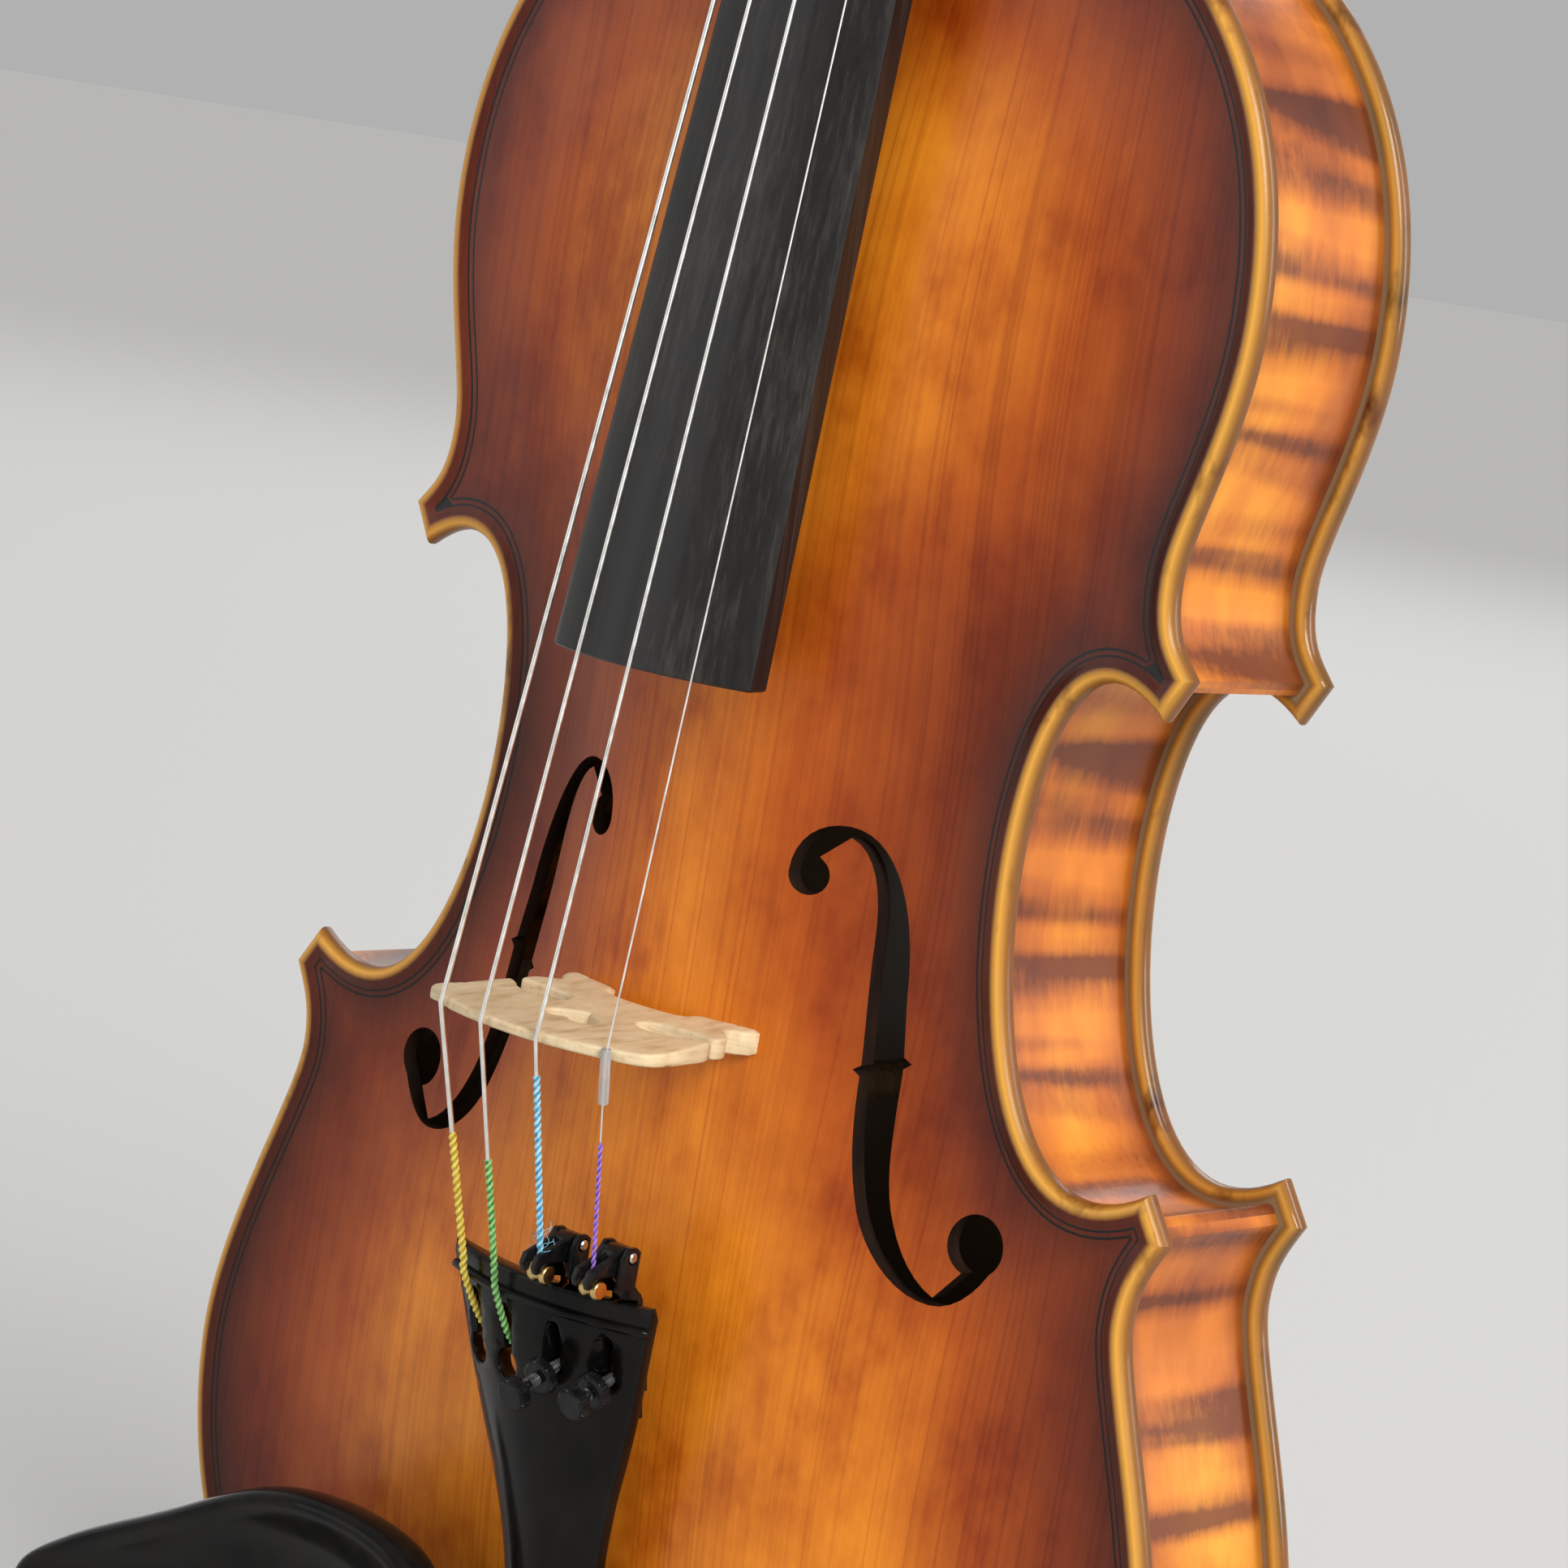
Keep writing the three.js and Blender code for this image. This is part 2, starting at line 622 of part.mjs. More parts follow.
for (const [part, points] of Object.entries(ribs)) {
  for (const [side, shape] of [['treble', points], ['bass', flip(points)]]) {
    let body = solid(slabXZ(shapeOf(shape), RIB_HALF, -RIB_HALF));
    if (part === 'upper') {
      body = body.subtract(solid(rootCut));
    }
    if (part === 'lower') {
      body = body.subtract(solid(pinHole));
    }
    place(`rib_${part}_${side}`, toGeometry(body), MAPLE);
  }
}

// Corner blocks fill the wedge behind each pair of ribs.
function cornerBlock(before, after, reach) {
  const tip = after[0];
  const near = (p) => Math.hypot(p[0] - tip[0], p[1] - tip[1]) < reach;
  return [...before.filter(near), ...after.slice(1).filter(near)];
}

const blocks = {
  corner_block_lower: cornerBlock(BLOCK_OUT.lower, BLOCK_OUT.middle, 27),
  corner_block_upper: cornerBlock(BLOCK_OUT.middle, BLOCK_OUT.upper, 25),
};
for (const [name, points] of Object.entries(blocks)) {
  for (const [side, shape] of [['treble', points], ['bass', flip(points)]]) {
    place(`${name}_${side}`, slabXZ(shapeOf(shape), RIB_HALF, -RIB_HALF), WILLOW);
  }
}

function endBlock(run, halfWidth, inner) {
  const half = run.filter(([x]) => x < halfWidth);
  const sorted = half.sort((p, q) => p[0] - q[0]).map(([x, z]) => [Math.max(x, 0), z]);
  const rest = sorted.slice(1);
  return [
    ...[...rest].reverse().map(([x, z]) => [-x, z]), ...sorted,
    [halfWidth - 2, inner], [-halfWidth + 2, inner],
  ];
}

const lowerBlock = solid(slabXZ(shapeOf(endBlock(BLOCK_OUT.lower, 30, 33)), RIB_HALF, -RIB_HALF));
place('lower_block', toGeometry(lowerBlock.subtract(solid(pinHole))), BARE_SPRUCE);
const upperBlock = solid(slabXZ(shapeOf(endBlock(BLOCK_OUT.upper, 32, 342)), RIB_HALF, -RIB_HALF));
place('upper_block', toGeometry(upperBlock.subtract(solid(rootCut))), BARE_SPRUCE);

// ---------------------------------------------------------------- bass bar and sound post

const lowest = (surface, x, z, reach) => {
  let value = surface(x, z);
  for (const dx of [-reach, reach]) {
    for (const dz of [-reach, 0, reach]) {
      const y = surface(x + dx, z + dz);
      value = Math.abs(y) < Math.abs(value) ? y : value;
    }
  }
  return value;
};

const BAR_X = -17;
const BAR_HALF = 2.7;
const BAR_ENDS = [60, 316];
const barTop = [];
const barFoot = [];
for (let i = 0; i <= 14; i += 1) {
  const t = i / 14;
  const z = mix(...BAR_ENDS, t);
  const y = lowest(topInside, BAR_X, z, BAR_HALF) + 0.6;
  barTop.push([y, z]);
  barFoot.push([y + 3 + 8 * Math.sin(Math.PI * t) ** 0.8, z]);
}
place('bass_bar', slabYZ(shapeOf([...barTop, ...barFoot.reverse()]), BAR_X - BAR_HALF, BAR_X + BAR_HALF),
  BARE_SPRUCE);

const POST = [17, 163.5];
const postTop = lowest(topInside, ...POST, 3) + 0.5;
const postFoot = lowest(backInside, ...POST, 3) - 0.5;
place('sound_post', rod([POST[0], postTop, POST[1]], [POST[0], postFoot, POST[1]], 3.1, 16), BARE_SPRUCE);

// ---------------------------------------------------------------- neck, pegbox and scroll

const boardShare = (z) => (z - BOARD_Z) / (NUT_Z - BOARD_Z);
const boardHalf = (z) => mix(...BOARD_HALF, boardShare(z));
const boardApex = (z) => mix(...BOARD_APEX, boardShare(z));
const crownDrop = (half) => BOARD_RADIUS - Math.sqrt(BOARD_RADIUS ** 2 - half ** 2);
const boardEdge = (z) => boardApex(z) + crownDrop(boardHalf(z));
const GLUE = [boardEdge(BOARD_Z) + BOARD_SIDE, boardEdge(NUT_Z) + BOARD_SIDE];
const glueLine = (z) => mix(...GLUE, boardShare(z));

// Sections of the neck: z, half width, depth behind the fingerboard, fullness.
const NECK = [
  [BODY_TOP - MORTISE, 17, 48, 0.5], [BODY_TOP + 10, 17, 48, 0.5], [BODY_TOP + 15, 17, 41, 0.55],
  [BODY_TOP + 19, 16.9, 33, 0.6], [BODY_TOP + 24, 16.6, 25.5, 0.75], [BODY_TOP + 30, 16.2, 19.5, 0.9],
  [BODY_TOP + 38, 15.8, 16.4, 1], [BODY_TOP + 60, 14.9, 15, 1], [NUT_Z - 25, 12.9, 13.8, 1],
  [NUT_Z - 8, 12.3, 14.2, 1], [NUT_Z + NUT_LENGTH, 12.1, 20, 0.8],
];

function neckSection([z, half, depth, full], top) {
  const ring = [];
  for (let i = 0; i <= 14; i += 1) {
    const angle = (i / 14) * Math.PI;
    const cos = Math.cos(angle);
    const waist = 1 - 0.36 * Math.max(0, (depth - 22) / 26) * Math.sin(angle);
    ring.push([
      half * waist * Math.sign(cos) * Math.abs(cos) ** full,
      top + depth * Math.sin(angle) ** (0.55 + 0.35 * full),
      z,
    ]);
  }
  return ring;
}

const neckTop = (z) => glueLine(Math.min(z, NUT_Z)) + GAP + Math.max(0, z - NUT_Z) * 0.12;
let neck = solid(loft(NECK.map((row) => neckSection(row, neckTop(row[0])))));
neck = neck.subtract(solid(block(-40, 40, RIM - GAP, 60, 300, BODY_TOP + 60)));
neck = neck.subtract(solid(block(-40, 40, -60, 60, BODY_TOP - 40, BODY_TOP - MORTISE)));
const rootGuard = slabXY(rootShape(0), BODY_TOP - 30, BODY_TOP + 10);
neck = neck.subtract(solid(block(-40, 40, -60, 60, BODY_TOP - 20, BODY_TOP)).subtract(solid(rootGuard)));

// Side profile of the pegbox, (y, z), and its width from the nut to the throat.
const pegboxSide = new THREE.Shape();
pegboxSide.moveTo(-9.2, NUT_Z + NUT_LENGTH);
pegboxSide.lineTo(-1.5, PEGBOX_END - 1);
pegboxSide.lineTo(6, PEGBOX_END + 12);
pegboxSide.lineTo(22, PEGBOX_END + 12);
pegboxSide.bezierCurveTo(23.6, 560, 17.6, 540, 16.8, 524);
pegboxSide.bezierCurveTo(16.4, 514, 14.5, 505, 6, 498.5);
pegboxSide.lineTo(-9.2, 498.5);
const pegboxFront = shapeOf([
  [-12.6, 498.5], [12.6, 498.5], [12.4, 506], [9.2, PEGBOX_END + 14], [-9.2, PEGBOX_END + 14], [-12.4, 506],
]);
const pegboxBlock = solid(slabYZ(pegboxSide, -20, 20, { curveSegments: 7 }))
  .intersect(solid(slabXZ(pegboxFront, 60, -60)));
const slotSide = shapeOf([
  [-40, NUT_Z + NUT_LENGTH + 2], [-40, PEGBOX_END - 3], [12, PEGBOX_END - 3], [14, 552],
  [11.6, 522], [7.5, NUT_Z + NUT_LENGTH + 8], [-4, NUT_Z + NUT_LENGTH + 2],
]);
const slotFront = shapeOf([[-8, 496], [8, 496], [5.6, PEGBOX_END], [-5.6, PEGBOX_END]]);
const pegSlot = solid(slabYZ(slotSide, -20, 20)).intersect(solid(slabXZ(slotFront, 60, -60)));

// The scroll: wedges that follow a spiral into the eye, growing wider turn by turn.
const TURNS = 2.15;
const WEDGES = 26;
const spiralRadius = (turn) => SCROLL_RADIUS * Math.exp(-0.735 * turn);
const SCROLL_WIDTH = [[0, 9], [0.35, 6.6], [0.75, 5.7], [1.05, 7.2], [1.5, 12.2], [1.95, 17.6], [2.3, 20.6]];

function scrollHalf(turn) {
  const i = Math.max(1, SCROLL_WIDTH.findIndex((p) => p[0] >= turn));
  const [a, b] = [SCROLL_WIDTH[i - 1], SCROLL_WIDTH[i]];
  return mix(a[1], b[1], (turn - a[0]) / (b[0] - a[0]));
}

function scrollBody() {
  const start = -0.72;
  let body = null;
  const corner = (turn, scale, x) => {
    const angle = start + turn * 2 * Math.PI;
    const r = spiralRadius(turn) * scale;
    return [x, EYE[0] + r * Math.cos(angle), EYE[1] + r * Math.sin(angle)];
  };
  for (let i = 0; i < WEDGES; i += 1) {
    const a = (i / WEDGES) * TURNS;
    const b = ((i + 1.04) / WEDGES) * TURNS;
    const inner = a > TURNS - 1 ? 0.02 : 0.42;
    const ring = (turn) => [
      corner(turn, 1, -scrollHalf(turn)), corner(turn, 1, scrollHalf(turn)),
      corner(turn, inner, scrollHalf(turn)), corner(turn, inner, -scrollHalf(turn)),
    ];
    const wedge = solid(loft([ring(a), ring(Math.min(b, 2.28))]));
    body = body ? body.add(wedge) : wedge;
  }
  return body;
}

neck = neck.add(pegboxBlock).subtract(pegSlot).add(scrollBody());
for (const peg of PEGS) {
  neck = neck.subtract(solid(rod([-30, peg.y, peg.z], [30, peg.y, peg.z], 4, 16)));
}
place('neck', toGeometry(neck), NECK_MAPLE);

// ---------------------------------------------------------------- fingerboard and nut

function boardSection(z, lift = 0) {
  const half = boardHalf(z);
  const ring = [];
  for (let i = 0; i <= 10; i += 1) {
    const x = mix(half, -half, i / 10);
    ring.push([x, boardApex(z) + crownDrop(Math.abs(x)) - lift, z]);
  }
  ring.push([-half + 0.6, glueLine(z) - lift, z], [half - 0.6, glueLine(z) - lift, z]);
  return ring;
}

const scoop = (z, half, depth) => {
  const ring = [];
  for (let i = 0; i <= 8; i += 1) {
    const angle = (i / 8) * Math.PI;
    ring.push([half * Math.cos(angle), glueLine(z) + 1 - (depth + 1) * Math.sin(angle), z]);
  }
  return ring;
};
const hollow = loft([scoop(BOARD_Z - 5, 15.4, 4.6), scoop(300, 13.6, 4.2), scoop(352, 11, 2)]);
const board = solid(loft([boardSection(BOARD_Z), boardSection(360), boardSection(NUT_Z - GAP)]));
place('fingerboard', toGeometry(board.subtract(solid(hollow))), EBONY);

const NUT_TOP = -17.3;
const nutSection = (z, top) => {
  const ring = [];
  for (let i = 0; i <= 8; i += 1) {
    const x = mix(12, -12, i / 8);
    ring.push([x, top + crownDrop(Math.abs(x)) * 0.35, z]);
  }
  ring.push([-12, neckTop(z) - GAP, z], [12, neckTop(z) - GAP, z]);
  return ring;
};
place('nut', loft([
  nutSection(NUT_Z, NUT_TOP), nutSection(NUT_Z + 2.4, NUT_TOP + 0.3), nutSection(NUT_Z + NUT_LENGTH, NUT_TOP + 4.6),
]), EBONY);

// ---------------------------------------------------------------- bridge

const BRIDGE_CROWN = 32.7;
const BRIDGE_SEAT = 0.45;           // the feet stop this far above the plate
// Right half of the bridge outline, (x, height above the plate's crown): foot, ankle,
// lower lobe, kidney-shaped cut with its narrow mouth, and the shoulder.
const archTop = -topSurface(BRIDGE_X, BRIDGE_Z);

function bridgeHalf() {
  const path = new THREE.Path();
  path.moveTo(8.9, 0.2);
  path.lineTo(20.5, -0.9);
  path.lineTo(20.7, 0.6);
  path.bezierCurveTo(19, 1.3, 17.9, 1.8, 17.8, 2.9);
  path.bezierCurveTo(17.9, 4.2, 20.2, 4.4, 20.9, 6.4);
  path.bezierCurveTo(21.3, 7.8, 21.2, 8.8, 20.4, 9.3);
  path.bezierCurveTo(18.6, 9, 15.5, 8.8, 12, 9.4);
  path.bezierCurveTo(8, 10, 6.6, 12.2, 8.6, 13.8);
  path.bezierCurveTo(11, 15.2, 15.6, 14.8, 18.2, 12.8);
  path.bezierCurveTo(19.4, 11.6, 20.6, 10.8, 21.8, 10.9);
  path.bezierCurveTo(22.4, 13.5, 23, 18, 23.1, 22.4);
  path.bezierCurveTo(23.3, 24.4, 22.8, 26, 21, 27.4);
  return path.getPoints(3).map((p) => [p.x, p.y]);
}

function bridgeOutline() {
  const right = bridgeHalf();
  const rise = (x) => BRIDGE_CROWN - (x > 0 ? 0.012 : 0.01) * x * x;
  const top = [];
  for (let i = 0; i <= 10; i += 1) {
    const x = mix(19.4, -19.4, i / 10);
    top.push([x, rise(x)]);
  }
  const left = right.map(([x, h]) => [-x * (1 + 0.011 * Math.max(0, h - 19)), h]).reverse();
  const legs = [];
  for (let i = 0; i <= 6; i += 1) {
    const angle = (i / 6) * Math.PI;
    legs.push([-8.9 * Math.cos(angle), 1.1 + 2.4 * Math.sin(angle) ** 0.6]);
  }
  return [...right, ...top, ...left, ...legs];
}

const bridgeShape = shapeOf(bridgeOutline());
const heart = new THREE.Path();
heart.moveTo(0, 15);
heart.bezierCurveTo(1.2, 16.4, 5, 17.2, 5, 19.6);
heart.bezierCurveTo(5, 21.8, 1.4, 22.2, 0, 20);
heart.bezierCurveTo(-1.4, 22.2, -5, 21.8, -5, 19.6);
heart.bezierCurveTo(-5, 17.2, -1.2, 16.4, 0, 15);
bridgeShape.holes.push(heart);

// Flat towards the tailpiece, tapered on the side of the fingerboard.
function bridgeGeometry() {
  const geometry = new THREE.ExtrudeGeometry(bridgeShape, { depth: 1, bevelEnabled: false, curveSegments: 3 });
  const position = geometry.attributes.position;
  const points = [];
  const faces = [];
  for (let i = 0; i < position.count; i += 1) {
    const height = position.getY(i);
    const share = Math.min(Math.max(height / BRIDGE_CROWN, 0), 1);
    const x = BRIDGE_X + position.getX(i);
    const front = position.getZ(i) > 0.5 ? mix(BRIDGE_FOOT_THICK, BRIDGE_TOP_THICK, share) : 0;
    let y = -(archTop + height);
    if (height < 0.4) {
      const crest = Math.min(topSurface(x, BRIDGE_BACK_Z), topSurface(x, BRIDGE_BACK_Z + BRIDGE_FOOT_THICK));
      y = crest - BRIDGE_SEAT;
    }
    points.push([x, y, BRIDGE_BACK_Z + front]);
  }
  for (let i = 0; i < position.count; i += 3) {
    faces.push([i, i + 1, i + 2]);
  }
  return closed(points, faces);
}

place('bridge', toGeometry(solid(bridgeGeometry())), BARE_MAPLE);

// ---------------------------------------------------------------- tailpiece

const tailEdge = (z) => TAIL_TOP_Y + TAIL_SLOPE * (TAIL_TOP_Z - z);
const TAIL_ROWS = [               // z, half width, crown above the edges
  [TAIL_END_Z, 8.6, 2.6], [26, 10, 3], [45, 9.6, 3.2], [70, 9.6, 3.5], [82, 10.3, 3.8],
  [94, 12.6, 4.3], [102, 14.9, 4.8], [110, 17.1, 5.1], [123, 20, 5.3], [TAIL_TOP_Z, 21.7, 5.3],
];

function tailRow(z) {
  const i = Math.max(1, TAIL_ROWS.findIndex((row) => row[0] >= z));
  const [a, b] = [TAIL_ROWS[i - 1], TAIL_ROWS[i]];
  const t = (z - a[0]) / (b[0] - a[0]);
  return [mix(a[1], b[1], t), mix(a[2], b[2], t)];
}

function tailSurface(x, z) {
  const [half, crown] = tailRow(z);
  return tailEdge(z) - crown * (1 - Math.min(Math.abs(x) / half, 1) ** 2);
}

// The underside is flat at the narrow end and hollow towards the wide end.
const TAIL_THICK = 2.6;
const tailHollow = (z) => 0.75 * Math.min(Math.max((z - 40) / 30, 0), 1);

function tailUnder(x, z) {
  const [half, crown] = tailRow(z);
  return tailEdge(z) + TAIL_THICK - tailHollow(z) * crown * (1 - Math.min(Math.abs(x) / half, 1) ** 2);
}

const tailSection = ([z, half]) => {
  const ring = [];
  for (let i = 0; i <= 10; i += 1) {
    const x = mix(half, -half, i / 10);
    ring.push([x, tailSurface(x, z), z]);
  }
  for (let i = 0; i <= 6; i += 1) {
    const x = mix(-half + 0.8, half - 0.8, i / 6);
    ring.push([x, tailUnder(x, z), z]);
  }
  return ring;
};
let tailpiece = solid(loft(TAIL_ROWS.map(tailSection)));
// Each slot leans towards the narrow end as the sides do.
const slotLean = (x) => x * 0.0025;

// A point of an adjuster's screw line, seen from the frame of its slot.
const SCREW_DIR = [0, -Math.cos(TUNER_TILT), -Math.sin(TUNER_TILT)];
function screwPoint(x, t) {
  const footX = x + slotLean(x) * (TUNER_Z - BALL_Z);
  const y = tailSurface(footX, TUNER_Z);
  return [0, y + SCREW_DIR[1] * t, TUNER_Z - BALL_Z + SCREW_DIR[2] * t];
}

TAIL_STRING_X.forEach((x, i) => {
  const tuned = i >= 2;
  const width = tuned ? 0.8 : 0.9;
  const eye = tuned ? 1.5 : 2.4;
  const eyeZ = tuned ? TUNER_Z - BALL_Z : -18.5;
  const eyeLine = (t) => (tuned ? screwPoint(x, t) : [0, -50 - t, eyeZ]);
  const parts = join(block(-width, width, -70, 0, eyeZ, -8.5), rod(eyeLine(-16), eyeLine(14), eye, 12));
  const cut = toGeometry(parts);
  cut.rotateY(slotLean(x));
  cut.translate(x, 0, BALL_Z);
  tailpiece = tailpiece.subtract(solid(cut));
});
const gutLine = (z) => tailEdge(z) + 0.1;
for (const x of [-4.5, 4.5]) {
  const low = TAIL_END_Z - 3;
  const high = TAIL_END_Z + 9;
  const bore = rod([x, gutLine(low), low], [x, gutLine(high), high], 1.5, 10);
  tailpiece = tailpiece.subtract(solid(bore));
}
place('tailpiece', toGeometry(tailpiece), BLACK_VARNISH);

function fretSection(z, rise) {
  const half = tailRow(FRET_Z)[0] + 0.8;
  const outer = [];
  const inner = [];
  for (let i = 0; i <= 10; i += 1) {
    const x = mix(half, -half, i / 10);
    outer.push([x, tailSurface(x, FRET_Z) - rise, z]);
    inner.push([x, tailSurface(x, FRET_Z) - 0.5, z]);
  }
  return [...outer, ...inner.reverse()];
}

function fretBody() {
  const shape = shapeOf(fretSection(0, 1.1).map(([x, y]) => [x, y]));
  return slabXY(shape, FRET_Z - 0.8, FRET_Z + 0.8);
}
place('tailpiece_fret', fretBody(), BLACK_VARNISH);

// ---------------------------------------------------------------- saddle, end button, tail gut

const saddleShape = new THREE.Shape();
saddleShape.moveTo(-RIM, BODY_BOTTOM - 0.4);
saddleShape.lineTo(-RIM, 18.4);
saddleShape.lineTo(-21.6, 18.4);
saddleShape.bezierCurveTo(-23.2, 17.6, -24.2, 16.4, -24.2, 14.8);
saddleShape.bezierCurveTo(-24.2, 12.4, -23, BODY_BOTTOM - 0.4, -21, BODY_BOTTOM - 0.4);
place('saddle', slabYZ(saddleShape, -17, 17), EBONY);

const endPin = [
  [0, 0], [4.2, 0], [6.4, 1.2], [BUTTON_RADIUS, 3.4], [6.6, 6.2], [5.2, 8], [3.6, 9.2], [3.6, 12],
  [5.4, 12.3], [5.4, 13.6], [4, 13.7], [3.4, 42], [0, 42],
];
place('end_button', turned(endPin, [0, 0, 0], [0, 0, 1], 14), EBONY);

const GUT_RADIUS = 1.1;
const gutHalf = [
  [4.5, gutLine(30), 30], [4.5, gutLine(22), 22], [4.5, -25.5, 18.4], [4.5, -25.75, 15], [4.5, -25.6, 12.4],
  [4.5, -24.4, 9.9], [4.5, -22, 9.2], [4.6, -17, 9.2], [4.8, -9, 10.4],
];
const gutBend = [];
for (let i = 0; i <= 8; i += 1) {
  const angle = (i / 8) * Math.PI;
  gutBend.push([5 * Math.cos(angle), 5 * Math.sin(angle), 10.7]);
}
const gutBack = [...gutHalf].reverse().map(([x, y, z]) => [-x, y, z]);
place('tail_gut', tube([...gutHalf, ...gutBend, ...gutBack], GUT_RADIUS, 6), NYLON);

// ---------------------------------------------------------------- pegs and string windings

const PEG_RADIUS = 3.5;

function pegGeometry(side) {
  const shank = turned([
    [0, -14.6], [3, -14.6], [3.3, -14], [PEG_RADIUS + 0.1, 12.9], [4.4, 13.3], [4.9, 14.6], [4.4, 15.8],
    [3.1, 16.8], [2.7, 19.5], [3.2, 21], [0, 21],
  ], [0, 0, 0], [side, 0, 0], 10);
  const grip = new THREE.SphereGeometry(1, 10, 7);
  grip.scale(8.6, 3.3, 11.2);
  grip.translate(side * 28, 0, 0);
  const tip = new THREE.SphereGeometry(1.5, 6, 4);
  tip.translate(side * 36.9, 0, 0);
  return toGeometry(join(shank, grip, tip));
}

const COIL_OUT = 4.7;
for (const peg of PEGS) {
  const holder = new THREE.Group();
  holder.position.set(0, peg.y, peg.z);
  model.add(holder);
  place(`peg_${peg.name}`, pegGeometry(peg.side), EBONY, holder);
  const coil = turned([
    [3.9, -1.6], [COIL_OUT, -1.6], [COIL_OUT, 1.6], [3.9, 1.6], [3.9, -1.6],
  ], [peg.coil, 0, 0], [1, 0, 0], 14);
  place(`winding_${peg.name}`, coil, STEEL, holder);
}

// ---------------------------------------------------------------- strings

const STRING_NAMES = ['g', 'd', 'a', 'e'];

function stringRoute(i) {
  const peg = PEGS.find((p) => p.name === STRING_NAMES[i]);
  const r = STRING_RADIUS[i];
  const [bx, by] = STRING_AT_BRIDGE[i];
  const tx = TAIL_STRING_X[i];
  const over = tailSurface(tx, FRET_Z) - 1.35 - GAP - r;
  const low = (z) => tx + slotLean(tx) * (z - BALL_Z);
  const start = i < 2
    ? [
      [low(116), tailSurface(tx, 116) + 3.6, 116], [low(119.4), tailSurface(tx, 120) + 0.6, 119.4],
      [tx, over, FRET_Z],
    ]
    : [[tx, TUNERS[STRING_NAMES[i]].ball - 0.3, BALL_Z + 1.95]];
  const nx = STRING_AT_NUT[i];
  const top = peg.y - COIL_OUT - r - GAP;
  return [
    ...start,
    [bx, by, BRIDGE_Z],
    [nx, NUT_STRING_Y, NUT_Z + 1],
    [nx, NUT_STRING_Y + 0.25, NUT_Z + 2.6],
    [mix(nx, peg.coil, 0.3), mix(NUT_STRING_Y + 3, top, 0.25), NUT_Z + NUT_LENGTH + 2.5],
    [peg.coil, top, peg.z - 0.5],
    [peg.coil, top + 0.4, peg.z + 1.6],
  ];
}

STRING_NAMES.forEach((name, i) => {
  place(`string_${name}`, tube(stringRoute(i), STRING_RADIUS[i], 6), STEEL);
});

// A short plastic tube keeps the E string from cutting into the bridge.
const [ex, ey] = STRING_AT_BRIDGE[3];
const eStart = [TAIL_STRING_X[3], TUNERS.e.ball, BALL_Z];
const alongE = (t) => [0, 1, 2].map((k) => mix([ex, ey, BRIDGE_Z][k], eStart[k], t));
const sleeve = turned([[0.5, 0], [0.85, 0], [0.85, 6.6], [0.5, 6.6], [0.5, 0]], alongE(0.03),
  alongE(1).map((v, k) => v - alongE(0)[k]), 10);
place('e_string_sleeve', sleeve, CLEAR_PLASTIC);

// ---------------------------------------------------------------- string adjusters

